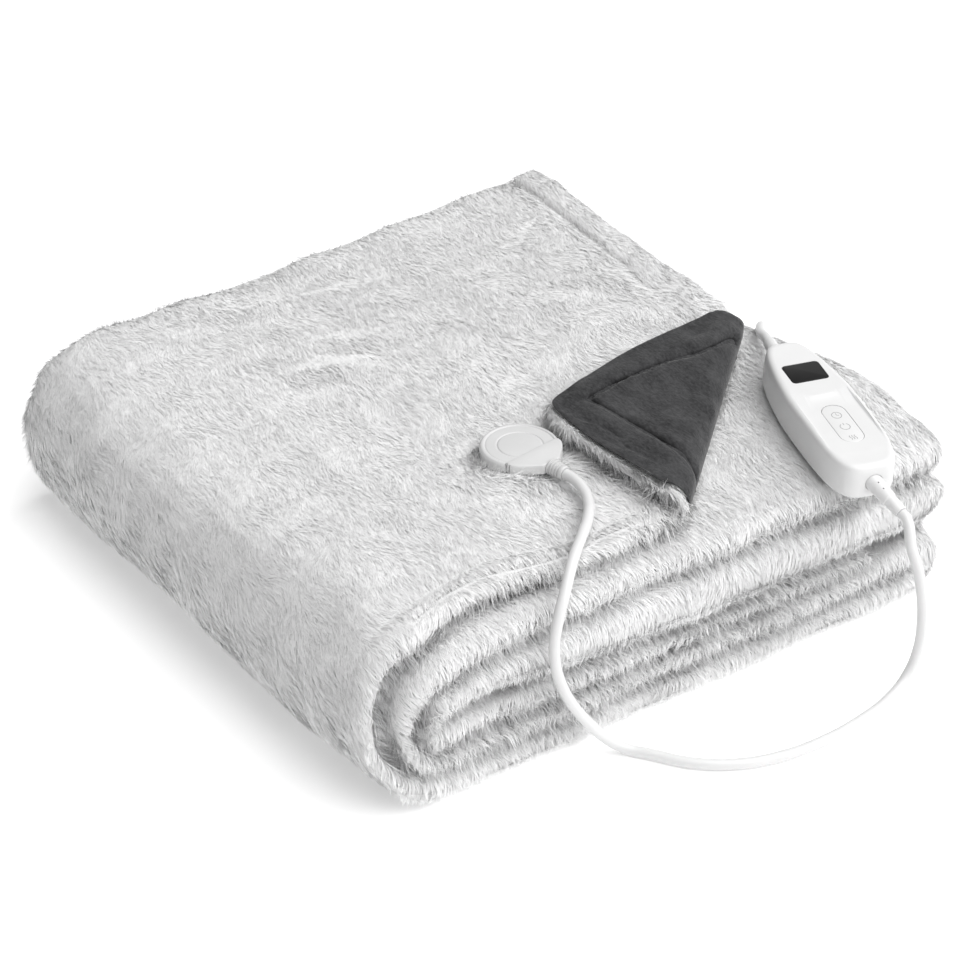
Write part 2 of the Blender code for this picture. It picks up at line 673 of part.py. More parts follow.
def superellipse(half_x, half_y, power, count):
    points = []
    for j in range(count):
        angle = 2 * math.pi * j / count
        c, s = math.cos(angle), math.sin(angle)
        points.append((half_x * math.copysign(abs(c) ** (2 / power), c),
                       half_y * math.copysign(abs(s) ** (2 / power), s)))
    return points


# ---------------------------------------------------------------- the cloth
def build_throw(parts, helpers, fur):
    throw = finish_mesh("throw_cloth", grid_solid(*throw_faces()), parts, fur)
    corner = finish_mesh("turned_corner", grid_solid(*turned_corner_faces()), helpers)
    boolean(throw, corner, "UNION")


def build_lining(parts, flannel):
    lining = finish_mesh("corner_lining", open_surface(lining_rows()), parts, flannel)
    add_solidify(lining, LINING_THICK, 1.0)


# ------------------------------------------- the lead's socket, plug and relief
def build_connector(parts, helpers, plastic):
    """The round socket on the cloth, with the lead's flat plug in it. Returns the lead's start."""
    x, y = SOCKET_CENTRE
    origin = Vector((x, y, layer_z("top", "high", x, y) + SEAT_GAP))
    heading = Vector((*PLUG_DIRECTION, 0.0))
    frame = new_frame("socket_frame", helpers, origin, heading)
    socket = add_turned("blanket_socket", SOCKET_PROFILE, parts, plastic, frame, 36)
    seat = [[(x, y, z) for x, y in plug_outline(GAP)] for z in (PLUG_FLOOR - GAP, 2 * PLUG_TOP)]
    boolean(socket, finish_mesh("plug_seat", loft(seat), helpers, None, frame), "DIFFERENCE")
    middle = (PLUG_OUTLINE[0]["along"] + PLUG_OUTLINE[-1]["along"]) / 2
    rings = [
        [(x * row["scale"], middle + (y - middle) * row["scale"], row["z"]) for x, y in plug_outline(0.0)]
        for row in PLUG_LEVELS
    ]
    finish_mesh("lead_plug", loft(rings), parts, plastic, frame)
    start = origin + heading * (PLUG_OUTLINE[-1]["along"] + GAP) + Vector((0.0, 0.0, PLUG_AXIS_HEIGHT))
    relief = add_turned("lead_plug_relief", plug_relief_profile(), parts, plastic)
    relief.matrix_world = axis_matrix(start, heading)
    return start + heading * (PLUG_RELIEF_LENGTH + GAP), heading


def axis_matrix(origin, direction):
    """Puts a turned piece's base at origin and its axis along direction."""
    return Matrix.Translation(origin * MM) @ direction.to_track_quat("Z", "Y").to_matrix().to_4x4()


def plug_outline(widen):
    """The flat plug's outline in its own plan, with Y away from the socket's centre."""
    right = [(row["half"] + widen, row["along"]) for row in PLUG_OUTLINE]
    right[0] = (right[0][0], right[0][1] - widen)
    right[-1] = (right[-1][0], right[-1][1] + widen)
    return right + [(-x, y) for x, y in reversed(right)]


def plug_relief_profile():
    """Ribs, each smaller than the last, and a collar."""
    profile = [(PLUG_RELIEF_BASE, 0.0)]
    for rib in range(RIBS["count"]):
        start = RIBS["start"] + rib * RIBS["pitch"]
        radius = RIBS["radius"] - RIBS["taper"] * rib
        end = start + RIBS["width"]
        groove = radius - RIBS["depth"]
        profile += [(radius, start), (radius, end)]
        profile += [(groove, end + 0.2), (groove, start + RIBS["pitch"] - 0.2)]
    return profile + list(PLUG_RELIEF_TIP)


# --------------------------------------------------------------- the controller
def controller_frame(helpers):
    """An empty at the middle of the controller's underside, Y towards its upper end."""
    up = Vector((0.0, -SLOPE, 1.0)).normalized()
    flat = Vector((*CONTROLLER_HEADING, 0.0))
    heading = (flat - up * flat.dot(up)).normalized()
    x, y = CONTROLLER_CENTRE
    origin = Vector((x, y, layer_z("second", "high", x, y) + CONTROLLER_SEAT))
    return new_frame("controller_frame", helpers, origin, heading, up)


def housing_ring(inset, z):
    """One outline of the housing, narrower towards its upper end and lower towards the other."""
    half_width = CONTROLLER_WIDTH / 2 - inset
    half_length = CONTROLLER_LENGTH / 2 - inset
    return [
        (x * (1.0 - UPPER_NARROWING * ease(0.0, half_length, y)), y,
         z * (1.0 - LOWER_END_DROP * ease(-0.3 * half_length, -half_length, y)))
        for x, y in superellipse(half_width, half_length, OUTLINE_POWER, 36)
    ]


def build_controller(parts, helpers, plastic, glass, film):
    frame = controller_frame(helpers)
    rings = [housing_ring(row["inset"], row["z"]) for row in HOUSING_SECTIONS]
    housing = finish_mesh("controller_housing", loft(rings, close_across), parts, plastic, frame)
    clear = 2 * GAP
    seats = {
        "panel_recess": (PANEL["width"], PANEL["length"], PANEL["floor"], PANEL["y"], PANEL["radius"]),
        "display_seat": (DISPLAY["width"] + clear, DISPLAY["length"] + clear, DISPLAY["floor"] - GAP,
                         DISPLAY["y"], DISPLAY["radius"] + GAP),
        "keypad_seat": (KEYPAD["width"] + clear, KEYPAD["length"] + clear, KEYPAD["floor"] - GAP,
                        KEYPAD["y"], KEYPAD["radius"] + GAP),
    }
    for name, (width, length, low, y, radius) in seats.items():
        block = rounded_block(width, length, low, CUTTER_TOP, y, radius)
        boolean(housing, finish_mesh(name, block, helpers, None, frame), "DIFFERENCE")
    covers = (("controller_display", DISPLAY, glass), ("controller_keypad", KEYPAD, film))
    for name, piece, material in covers:
        block = rounded_block(piece["width"], piece["length"], piece["floor"], piece["top"], piece["y"],
                              piece["radius"])
        finish_mesh(name, block, parts, material, frame)
    return frame, housing


def build_controller_reliefs(parts, helpers, plastic, frame, housing):
    """The stepped sleeves in the controller's two ends. Returns where each lead begins, and its way."""
    base = RELIEF_PROFILE[0][0] + GAP
    ends = []
    for row in RELIEFS:
        way = Vector(row["way"]).normalized()
        local = Vector((0.0, row["side"] * (CONTROLLER_LENGTH / 2 - RELIEF_INSET), row["height"]))
        seat = frame.matrix_world.translation / MM + frame.matrix_world.to_3x3() @ local
        hole = add_turned(row["name"] + "_seat", ((base, -GAP), (base, RELIEF_SEAT_DEPTH)), helpers, None)
        hole.matrix_world = axis_matrix(seat, way)
        boolean(housing, hole, "DIFFERENCE")
        relief = add_turned(row["name"], RELIEF_PROFILE, parts, plastic)
        relief.matrix_world = axis_matrix(seat, way)
        ends.append((seat + way * (RELIEF_PROFILE[-1][1] + GAP), way))
    return ends


# -------------------------------------------------------------------- the leads
def smooth_curve(points):
    """Many points of a smooth curve through the given ones, with their distances along it."""
    points = np.array(points, float)
    steps = np.concatenate([[0.0], np.cumsum(np.linalg.norm(np.diff(points, axis=0), axis=1) ** 0.5)])
    fine = np.linspace(0.0, steps[-1], 1200)
    curve = np.stack([hermite(steps, points[:, axis], fine) for axis in range(3)], axis=1)
    length = np.concatenate([[0.0], np.cumsum(np.linalg.norm(np.diff(curve, axis=0), axis=1))])
    return curve, length


def build_tube(name, points, parts, material):
    """A lead's free stretch, with a straight start and end that sit square on their neighbours."""
    curve, length = smooth_curve(points)
    total = length[-1]
    count = int(round(total / LEAD_SPACING))
    at = np.concatenate([[0.0, LEAD_STRAIGHT], np.linspace(0.0, total, count + 1)[1:-1],
                         [total - LEAD_STRAIGHT, total]])
    route = np.stack([np.interp(at, length, curve[:, axis]) for axis in range(3)], axis=1)
    data = bpy.data.curves.new(name, "CURVE")
    data.dimensions = "3D"
    data.bevel_depth = LEAD_DIAMETER / 2 * MM
    data.bevel_resolution = 2
    data.use_fill_caps = True
    spline = data.splines.new("POLY")
    spline.points.add(len(route) - 1)
    for point, place in zip(spline.points, route * MM):
        point.co = (*place, 1.0)
    data.materials.append(material)
    parts.objects.link(bpy.data.objects.new(name, data))


def straight_end(point, way):
    """Two points that keep a lead on its relief's axis, the nearer first."""
    return [tuple(point), tuple(point + way * LEAD_STRAIGHT)]


def coil_meeting(angle, layer, side):
    """Where a lead's square end meets the coil's side, and the way from there along the lead."""
    turn = math.radians(angle)
    c, s = math.cos(turn), math.sin(turn)
    way = Vector((s, -c, 0.0)) * side
    radius = COIL["radius"] + LEAD_DIAMETER / 2
    clear = math.sqrt((COIL["radius"] + COIL["width"] / 2 + GAP) ** 2 - COIL["radius"] ** 2)
    height = COIL["low"] + LEAD_DIAMETER * (layer + 0.5)
    return Vector((*COIL["centre"], height)) + Vector((radius * c, radius * s, 0.0)) + way * clear, way


def build_coil(parts, vinyl):
    """The outer form of the coiled lead: a turned ring."""
    half, top, edge = COIL["width"] / 2, COIL["height"], COIL["rounding"]
    section = ((half, edge), (half - edge, 0.0), (edge - half, 0.0), (-half, edge),
               (-half, top - edge), (edge - half, top), (half - edge, top), (half, top - edge))
    mesh = bmesh.new()
    verts = [mesh.verts.new((COIL["radius"] + r, 0.0, z)) for r, z in section]
    for a, b in zip(verts, verts[1:] + verts[:1]):
        mesh.edges.new((a, b))
    ring = finish_mesh("mains_coil", mesh, parts, vinyl)
    ring.location = (*(COIL["centre"] * MM), COIL["low"] * MM)
    add_screw(ring, 40)


def build_tie(parts, tie_material):
    """A strap round the coil at one place."""
    reach = COIL["width"] / 2 + GAP
    low, high = COIL["low"] - GAP, COIL["low"] + COIL["height"] + GAP
    middle = (low + high) / 2
    loop = superellipse(reach + TIE["slack"], (high - low) / 2, TIE["power"], 28)
    turn = math.radians(TIE["angle"])
    outward = Vector((math.cos(turn), math.sin(turn), 0.0))
    along = Vector((-math.sin(turn), math.cos(turn), 0.0))
    centre = Vector((*COIL["centre"], middle)) + outward * COIL["radius"]
    rows = [
        [centre + outward * r + along * side * TIE["width"] / 2 + Vector((0.0, 0.0, z))
         for r, z in loop + loop[:1]]
        for side in (-1.0, 1.0)
    ]
    mesh = open_surface(rows)
    bmesh.ops.remove_doubles(mesh, verts=mesh.verts, dist=0.01)
    tie = finish_mesh("coil_tie", mesh, parts, tie_material)
    add_solidify(tie, TIE["thickness"], 1.0)


def build_mains_plug(parts, helpers, plastic, steel):
    """A flat two-pin plug on the surface. Returns where its lead ends, and the way out of it."""
    heading = Vector((*MAINS_PLUG["heading"], 0.0)).normalized()
    origin = Vector((*MAINS_PLUG["place"], SURFACE_Z + MAINS_PLUG["thickness"] / 2))
    frame = new_frame("mains_plug_frame", helpers, origin, heading)
    rings = [
        [(x, row["along"], z) for x, z in superellipse(row["half_width"], row["half_height"], PLUG_POWER, 24)]
        for row in PLUG_SECTIONS
    ]
    finish_mesh("mains_plug", loft(rings), parts, plastic, frame)
    face = PLUG_SECTIONS[-1]["along"] + GAP
    turn = frame.matrix_world.to_3x3()
    profile = (
        (PIN["radius"], 0.0),
        (PIN["radius"], PIN["length"] - PIN["tip"]),
        (PIN["tip_radius"], PIN["length"]),
    )
    for side, x in (("left", -PIN["spread"] / 2), ("right", PIN["spread"] / 2)):
        pin = add_turned(f"mains_pin_{side}", profile, parts, steel)
        pin.matrix_world = axis_matrix(origin + turn @ Vector((x, face, 0.0)), heading)
    relief = add_turned("mains_plug_relief", PLUG_RELIEF_PROFILE, parts, plastic)
    relief.matrix_world = axis_matrix(origin - heading * GAP, -heading)
    return origin - heading * (2 * GAP + PLUG_RELIEF_PROFILE[-1][1]), -heading


def build_all():
    clear_scene()
    parts = new_collection("electric_heated_throw")
    helpers = new_collection("helpers")
    fur = new_material("fur_pile", (0.78, 0.78, 0.78), 0.9)
    flannel = new_material("lining_flannel", (0.06, 0.06, 0.065), 0.92)
    plastic = new_material("white_plastic", (0.86, 0.86, 0.86), 0.28)
    glass = new_material("display_window", (0.02, 0.02, 0.02), 0.08)
    film = new_material("keypad_film", (0.84, 0.84, 0.84), 0.4)
    vinyl = new_material("lead_vinyl", (0.88, 0.88, 0.88), 0.35)
    tie_material = new_material("tie_strap", (0.1, 0.1, 0.1), 0.5)
    steel = new_material("pin_metal", (0.75, 0.75, 0.74), 0.25)
    steel.node_tree.nodes["Principled BSDF"].inputs["Metallic"].default_value = 1.0

    build_throw(parts, helpers, fur)
    build_lining(parts, flannel)
    lead_start, lead_way = build_connector(parts, helpers, plastic)
    handset = build_controller(parts, helpers, plastic, glass, film)
    leads = build_controller_reliefs(parts, helpers, plastic, *handset)
    (lead_end, end_way), (mains_start, mains_way) = leads
    connector = [*straight_end(lead_start, lead_way), *CONNECTOR_ROUTE]
    connector += reversed(straight_end(lead_end, end_way))
    build_tube("connector_lead", connector, parts, vinyl)
    meet_point, meet_way = coil_meeting(**LEAD_IN)
    mains = [*straight_end(mains_start, mains_way), *MAINS_ROUTE]
    mains += reversed(straight_end(meet_point, meet_way))
    build_tube("mains_lead", mains, parts, vinyl)
    build_coil(parts, vinyl)
    build_tie(parts, tie_material)
    plug_end, plug_way = build_mains_plug(parts, helpers, plastic, steel)
    leave_point, leave_way = coil_meeting(**LEAD_OUT)
    tail = [*straight_end(leave_point, leave_way), *TAIL_ROUTE, *reversed(straight_end(plug_end, plug_way))]
    build_tube("mains_tail", tail, parts, vinyl)


build_all()
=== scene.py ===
"""The looks of an electric heated throw: deep fur cloth, folded, with its lining turned up at one corner,
its socket, plug and leads, and its hand controller.

Lengths in the tables are in millimetres, but for the camera's, and become metres where they are used. The
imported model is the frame: every piece here replaces one of its nodes or lies on it.
"""
import math

import bmesh
import bpy
import numpy as np
from mathutils import Matrix, Vector
from mathutils.bvhtree import BVHTree


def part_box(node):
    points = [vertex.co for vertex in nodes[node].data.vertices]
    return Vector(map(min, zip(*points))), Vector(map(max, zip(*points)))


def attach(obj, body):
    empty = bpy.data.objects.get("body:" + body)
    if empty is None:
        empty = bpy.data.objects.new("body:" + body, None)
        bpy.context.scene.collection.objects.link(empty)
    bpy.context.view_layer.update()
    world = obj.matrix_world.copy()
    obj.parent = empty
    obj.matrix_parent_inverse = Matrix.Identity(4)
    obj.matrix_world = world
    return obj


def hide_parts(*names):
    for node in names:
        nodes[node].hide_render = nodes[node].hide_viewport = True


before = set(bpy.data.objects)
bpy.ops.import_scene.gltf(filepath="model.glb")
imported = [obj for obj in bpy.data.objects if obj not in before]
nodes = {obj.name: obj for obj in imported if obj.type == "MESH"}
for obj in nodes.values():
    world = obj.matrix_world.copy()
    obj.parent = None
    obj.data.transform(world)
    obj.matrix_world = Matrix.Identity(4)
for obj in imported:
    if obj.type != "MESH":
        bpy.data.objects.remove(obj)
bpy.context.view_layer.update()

MM = 0.001
UP = Vector((0.0, 0.0, 1.0))
SEED = 41

# The photo's camera: its angles in degrees, its distance and target in metres.
CAMERA = dict(lens=125.1, shift_x=0.0173, shift_y=-0.0129, elevation=32.88, azimuth=35.17,
              distance=2.071, target=Vector((-0.005, 0.007, 0.06)))
LIGHT = dict(world=0.35, sun=3.4, width=75.0, way=Vector((0.29, -0.43, 0.855)))
FLOOR = dict(size=6000.0, cells=8, white=0.93, glow=0.25)

LEAD_DIAMETER = 6.6
# The leads' routes: from the plug to the controller, and from there to the coil and on to the mains plug.
LEAD_FROM_PLUG = (
    (-20.84, -118.65, 127.93), (-20.17, -123.6, 127.93), (-21.4, -134.5, 128), (-26.4, -148, 127.4),
    (-37, -161.8, 127.2), (-51, -174.5, 127), (-67, -188, 124.9), (-80.5, -199.5, 117),
    (-88.5, -204.5, 105), (-92.5, -206, 90), (-92.5, -207, 74), (-88, -207.6, 57), (-80, -208.4, 40),
    (-70, -210, 24.5), (-60, -213.5, 11.5), (-51, -220.5, 4.6), (-41.6, -232.5, 3.9), (-27.8, -252, 3.9),
    (-8.8, -267, 3.9), (15.4, -276.5, 3.9), (46.5, -280, 3.9), (81.9, -277, 3.9), (108, -270.5, 4.2),
    (123.5, -266.5, 11), (130.5, -266, 25), (132.3, -265.8, 44), (131.5, -264.5, 63), (130, -261, 80),
    (128.5, -255, 94), (131.56, -246.24, 107.48), (131.31, -241.62, 109.25),
)
LEAD_TO_COIL = (
    (174.04, -68.18, 125.74), (176.15, -63.67, 125.34), (182.5, -50.5, 121.2), (190, -41.5, 118.6),
    (197.4, -33.5, 112.6), (203.6, -25, 103.4), (207, -15, 93), (211.5, -4, 83), (216.5, 8, 69),
    (220, 20, 52), (222, 34, 34), (223.5, 49, 17), (225, 66, 6.5), (227.5, 86, 3.9), (231.5, 120, 3.9),
    (232, 150, 3.9), (230.5, 180, 3.9), (222, 206, 3.9), (204, 224, 3.9), (181, 232, 3.9),
    (156, 232.5, 4.2), (125.21, 231.2, 5.3),
)
LEAD_FROM_COIL = (
    (47.22, 263.5, 18.5), (40, 269.5, 14.2), (30, 277, 10.4), (19, 281.5, 7.8), (3.57, 281.62, 7.3),
    (-1.43, 281.87, 7.3),
)
# The coil starts and ends at these angles, and a turn changes places over the last degrees before the next.
COIL = dict(centre=(96.0, 271.0), radius=36.5, low=2.0, start=270.0, end=225.0, turns=6, change=32.0,
            step=9.0)
# Where each turn lies, in order: 1 outside or -1 inside, and its layer.
COIL_SLOTS = ((1, 0), (-1, 0), (-1, 1), (1, 1), (-1, 2), (1, 2))


# --- materials
class Look:
    """A material being built: its shader's own sockets, and nodes that feed them."""

    def __init__(self, name, colour, roughness, **sockets):
        self.material = bpy.data.materials.new(name)
        self.material.use_nodes = True
        self.tree = self.material.node_tree
        self.shader = self.tree.nodes["Principled BSDF"]
        self.shade(Base_Color=(*colour, 1.0), Roughness=roughness, **sockets)

    def feed(self, socket, value):
        """Links a socket to the value, where that is a socket too, or sets it."""
        if isinstance(value, bpy.types.NodeSocket):
            self.tree.links.new(value, socket)
        else:
            socket.default_value = value

    def set(self, node, **inputs):
        """Feeds a node's inputs; _ in a name is a space."""
        for name, value in inputs.items():
            self.feed(node.inputs[name.replace("_", " ")], value)
        return node

    def shade(self, **inputs):
        self.set(self.shader, **inputs)

    def node(self, kind, settings=(), **inputs):
        made = self.tree.nodes.new("ShaderNode" + kind)
        for name, value in dict(settings).items():
            setattr(made, name, value)
        return self.set(made, **inputs)

    def place(self, scale=(1.0, 1.0, 1.0)):
        """The object's own coordinates, in metres."""
        coordinates = self.node("TexCoord").outputs["Object"]
        return self.node("Mapping", Vector=coordinates, Scale=scale).outputs["Vector"]

    def noise(self, scale, detail=3.0, stretch=(1.0, 1.0, 1.0), roughness=0.55):
        return self.node("TexNoise", Vector=self.place(stretch), Scale=scale, Detail=detail,
                         Roughness=roughness).outputs["Fac"]

    def attribute(self, name):
        return self.node("Attribute", dict(attribute_name=name)).outputs["Fac"]

    def math(self, operation, first, second):
        made = self.node("Math", dict(operation=operation))
        self.feed(made.inputs[0], first)
        self.feed(made.inputs[1], second)
        return made.outputs[0]

    def product(self, first, second):
        """Two colours multiplied."""
        made = self.node("Mix", dict(data_type="RGBA", blend_type="MULTIPLY"))
        for index, value in ((0, 1.0), (6, first), (7, second)):
            self.feed(made.inputs[index], value)
        return made.outputs[2]

    def ramp(self, fac, *stops):
        """Grey levels or colours at positions from 0 to 1."""
        made = self.node("ValToRGB", Fac=fac)
        elements = made.color_ramp.elements
        while len(elements) < len(stops):
            elements.new(0.5)
        for element, (position, colour) in zip(elements, stops):
            element.position = position
            element.color = (*(colour if isinstance(colour, tuple) else (colour,) * 3), 1.0)
        return made.outputs["Color"]

    def bump(self, height, strength, distance):
        return self.node("Bump", Height=height, Strength=strength, Distance=distance).outputs["Normal"]


def moulded_plastic(name, low, high, roughness, grain=900.0):
    """White moulded plastic: faint clouding from low to high, and the fine grain of its mould."""
    look = Look(name, (high,) * 3, roughness, Specular_IOR_Level=0.5)
    clouds = look.noise(38.0, 4.0)
    shine = look.ramp(look.noise(60.0, 3.0), (0.3, roughness - 0.05), (0.7, roughness + 0.07))
    look.shade(Base_Color=look.ramp(clouds, (0.3, low), (0.7, high)), Roughness=shine,
               Normal=look.bump(look.noise(grain, 2.0), 0.25, 0.00002))
    return look.material


def fur_skin():
    """The backing between the hairs: darker in the partings and along the seams, as painted shade from its
    share of open rays, with the lie of the pile as relief.
    """
    look = Look("fur_skin", (0.6, 0.6, 0.6), 0.9, Sheen_Weight=0.25, Sheen_Roughness=0.5)
    pile = look.noise(620.0, 3.0, (1.0, 0.28, 1.0), 0.7)
    patches = look.noise(26.0, 3.0)
    # Painted shade: the backing darkens where few rays get out, in the partings and along the seams.
    base = look.math("MULTIPLY", look.ramp(look.attribute("open"), (0.05, 0.4), (0.6, 0.8)),
                     look.ramp(patches, (0.3, 0.97), (0.7, 1.0)))
    shade = look.math("MULTIPLY", base, look.ramp(pile, (0.3, 0.9), (0.65, 1.0)))
    look.shade(Base_Color=shade, Normal=look.bump(pile, 0.6, 0.0012))
    return look.material


def fur_hair():
    """Hair: dark at its root and light at its tip, painted shade deep in the pile; each strand a little
    lighter or darker.
    """
    look = Look("fur_hair", (0.78, 0.78, 0.78), 0.62, Sheen_Weight=0.15, Sheen_Roughness=0.4)
    strand = look.node("SeparateXYZ", Vector=look.node("UVMap", dict(uv_map="strand")).outputs["UV"])
    # Darker towards the root: painted shade down in the pile.
    along = look.ramp(strand.outputs["Y"], (0.0, 0.8), (0.35, 0.9), (1.0, 0.94))
    own = look.ramp(strand.outputs["X"], (0.0, 0.6), (0.12, 0.97), (1.0, 1.0))
    patches = look.ramp(look.noise(22.0, 3.0), (0.3, 0.97), (0.7, 1.0))
    look.shade(Base_Color=look.math("MULTIPLY", look.math("MULTIPLY", along, own), patches))
    return look.material


def flannel():
    """Short brushed pile, with the streaks that a hand leaves in it, and painted shade in its seam's groove.
    """
    look = Look("flannel", (0.06, 0.06, 0.062), 0.95, Sheen_Roughness=0.35, Specular_IOR_Level=0.1)
    seam = look.attribute("seam")
    pile = look.noise(620.0, 3.0, (1.0, 0.45, 1.0), 0.75)
    streaks = look.noise(70.0, 5.0, (1.0, 0.5, 1.0), 0.65)
    mean = look.math("ADD", look.math("MULTIPLY", pile, 0.5), look.math("MULTIPLY", streaks, 0.5))
    tone = look.ramp(mean, (0.36, (0.024, 0.024, 0.025)), (0.64, (0.074, 0.074, 0.076)))
    # Darker in the seam's groove: painted shade.
    look.shade(Base_Color=look.product(tone, look.ramp(seam, (0.15, 1.0), (0.8, 0.12))),
               Sheen_Weight=look.ramp(seam, (0.1, 0.3), (0.5, 0.0)), Normal=look.bump(pile, 0.7, 0.0009))
    return look.material


def display_glass():
    look = Look("display_glass", (0.012, 0.012, 0.014), 0.06, Specular_IOR_Level=0.22, Coat_Weight=0.12)
    smears = look.ramp(look.noise(90.0, 4.0), (0.4, 0.05), (0.75, 0.12))
    look.shade(Roughness=smears, Base_Color=look.ramp(look.noise(30.0, 2.0), (0.3, 0.010), (0.7, 0.018)))
    return look.material


def strap_weave():
    look = Look("strap_weave", (0.62, 0.62, 0.62), 0.8, Sheen_Weight=0.3)
    weave = look.node("TexChecker", Vector=look.place(), Scale=1600.0).outputs["Fac"]
    look.shade(Base_Color=look.ramp(look.noise(400.0, 3.0), (0.3, 0.5), (0.7, 0.68)),
               Normal=look.bump(weave, 0.5, 0.0003))
    return look.material


def bright_metal():
    look = Look("pin_metal", (0.74, 0.73, 0.7), 0.25, Metallic=1.0)
    scratches = look.noise(700.0, 3.0, (1.0, 0.05, 1.0))
    clouds = look.ramp(look.noise(80.0, 3.0), (0.3, (0.70, 0.69, 0.66)), (0.7, (0.80, 0.79, 0.77)))
    look.shade(Roughness=look.ramp(scratches, (0.3, 0.18), (0.7, 0.36)), Base_Color=clouds)
    return look.material


def icon_ink():
    look = Look("icon_ink", (0.35, 0.35, 0.35), 0.5)
    look.shade(Base_Color=look.ramp(look.noise(800.0, 2.0), (0.3, 0.28), (0.7, 0.42)))
    return look.material


# --- helpers
def show(item, material, slot, *replaced):
    """Gives a finished piece its material, sets it on the body, and hides what it stands for. Its slot is
    not used.
    """
    item.data.materials.clear()
    item.data.materials.append(material)
    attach(item, "root")
    if replaced:
        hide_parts(*replaced)
    return item


def link(item):
    bpy.context.scene.collection.objects.link(item)
    return item


def smooth(data, sharp_from):
    """Shades a mesh smooth, apart from edges that turn by this many degrees or more."""
    data.shade_smooth()
    data.set_sharp_from_angle(angle=math.radians(sharp_from))


def from_bmesh(name, mesh, matrix=None):
    """An object from a bmesh, which matrix puts in its place in metres."""
    data = bpy.data.meshes.new(name)
    if matrix:
        mesh.transform(matrix)
    bmesh.ops.recalc_face_normals(mesh, faces=mesh.faces)
    mesh.to_mesh(data)
    mesh.free()
    smooth(data, sharp_from=40.0)
    return link(bpy.data.objects.new(name, data))


def with_modifiers(item):
    """Applies what is on the item, and returns it with its final mesh."""
    evaluated = item.evaluated_get(bpy.context.evaluated_depsgraph_get())
    data = bpy.data.meshes.new_from_object(evaluated)
    item.modifiers.clear()
    item.data = data
    return item


def loft(rings, caps=True):
    """A skin over closed rings of points, which all have as many."""
    mesh = bmesh.new()
    loops = [[mesh.verts.new(p) for p in ring] for ring in rings]
    count = len(rings[0])
    for lower, upper in zip(loops, loops[1:]):
        for j in range(count):
            mesh.faces.new((lower[j], lower[(j + 1) % count], upper[(j + 1) % count], upper[j]))
    if caps:
        mesh.faces.new(loops[0])
        mesh.faces.new(loops[-1])
    return mesh


def ease(low, high, at):
    """From 0 at low to 1 at high, with a smooth start and end."""
    t = np.clip((at - low) / (high - low), 0.0, 1.0)
    return t * t * (3.0 - 2.0 * t)


# --- camera and light
def build_camera():
    elevation, azimuth = math.radians(CAMERA["elevation"]), math.radians(CAMERA["azimuth"])
    forward = Vector((math.sin(azimuth) * math.cos(elevation), math.cos(azimuth) * math.cos(elevation),
                      -math.sin(elevation)))
    right = forward.cross(UP).normalized()
    data = bpy.data.cameras.new("camera")
    for name in ("lens", "shift_x", "shift_y"):
        setattr(data, name, CAMERA[name])
    camera = link(bpy.data.objects.new("camera", data))
    turn = Matrix((right, right.cross(forward), -forward)).transposed().to_4x4()
    camera.matrix_world = Matrix.Translation(CAMERA["target"] - forward * CAMERA["distance"]) @ turn
    bpy.context.scene.camera = camera


def build_light():
    """A white room with one large soft light, high on the right, which leaves the left bend in shade."""
    bpy.context.scene.view_settings.view_transform = "Standard"
    world = bpy.data.worlds.new("studio")
    world.use_nodes = True
    background = world.node_tree.nodes["Background"].inputs
    background["Color"].default_value = (1.0, 1.0, 1.0, 1.0)
    background["Strength"].default_value = LIGHT["world"]
    bpy.context.scene.world = world
    key = bpy.data.lights.new("key", "SUN")
    key.energy = LIGHT["sun"]
    key.angle = math.radians(LIGHT["width"])
    lamp = link(bpy.data.objects.new("key", key))
    lamp.rotation_mode = "QUATERNION"
    lamp.rotation_quaternion = LIGHT["way"].to_track_quat("Z", "Y")


def build_floor():
    """The white sweep, which glows a little, so that the throw's shadow stays light."""
    look = Look("floor", (FLOOR["white"],) * 3, 0.8, Specular_IOR_Level=0.1,
                Emission_Color=(1.0, 1.0, 1.0, 1.0), Emission_Strength=FLOOR["glow"])
    mesh = bmesh.new()
    cells = FLOOR["cells"]
    bmesh.ops.create_grid(mesh, x_segments=cells, y_segments=cells, size=FLOOR["size"] * MM)
    floor = from_bmesh("floor", mesh)
    floor.data.materials.append(look.material)


# --- the leads
def coil_points():
    """The lead's turns, clockwise from above, each in its own place in the coil."""
    total = COIL["start"] - COIL["end"] + 360.0 * COIL["turns"]
    each = total / len(COIL_SLOTS)
    points = []
    for turned_by in np.arange(0.0, total + 1.0, COIL["step"]):
        index = min(int(turned_by / each), len(COIL_SLOTS) - 1)
        side, layer = COIL_SLOTS[index]
        if index < len(COIL_SLOTS) - 1:
            next_side, next_layer = COIL_SLOTS[index + 1]
            share = float(ease(each - COIL["change"], each, turned_by - index * each))
            side += share * (next_side - side)
            layer += share * (next_layer - layer)
        angle = math.radians(COIL["start"] - turned_by)
        radius = COIL["radius"] + side * LEAD_DIAMETER / 2
        x, y = COIL["centre"]
        points.append((x + radius * math.cos(angle), y + radius * math.sin(angle),
                       COIL["low"] + LEAD_DIAMETER * (layer + 0.5)))
    return points


def lead_curve(name, points):
    """A round lead along the points, which are in millimetres."""
    data = bpy.data.curves.new(name, "CURVE")
    data.dimensions = "3D"
    data.bevel_depth = LEAD_DIAMETER / 2 * MM
    data.bevel_resolution = 5
    data.resolution_u = 4
    data.use_fill_caps = True
    spline = data.splines.new("BEZIER")
    spline.bezier_points.add(len(points) - 1)
    for point, place in zip(spline.bezier_points, points):
        point.co = Vector(place) * MM
        point.handle_left_type = point.handle_right_type = "AUTO"
    return link(bpy.data.objects.new(name, data))


def build_leads(vinyl):
    connector = lead_curve("connector_flex", LEAD_FROM_PLUG)
    mains = lead_curve("mains_flex", [*LEAD_TO_COIL, *coil_points(), *LEAD_FROM_COIL])
    return (show(connector, vinyl, "lead_vinyl", "connector_lead"),
            show(mains, vinyl, "lead_vinyl", "mains_lead", "mains_coil", "mains_tail"))


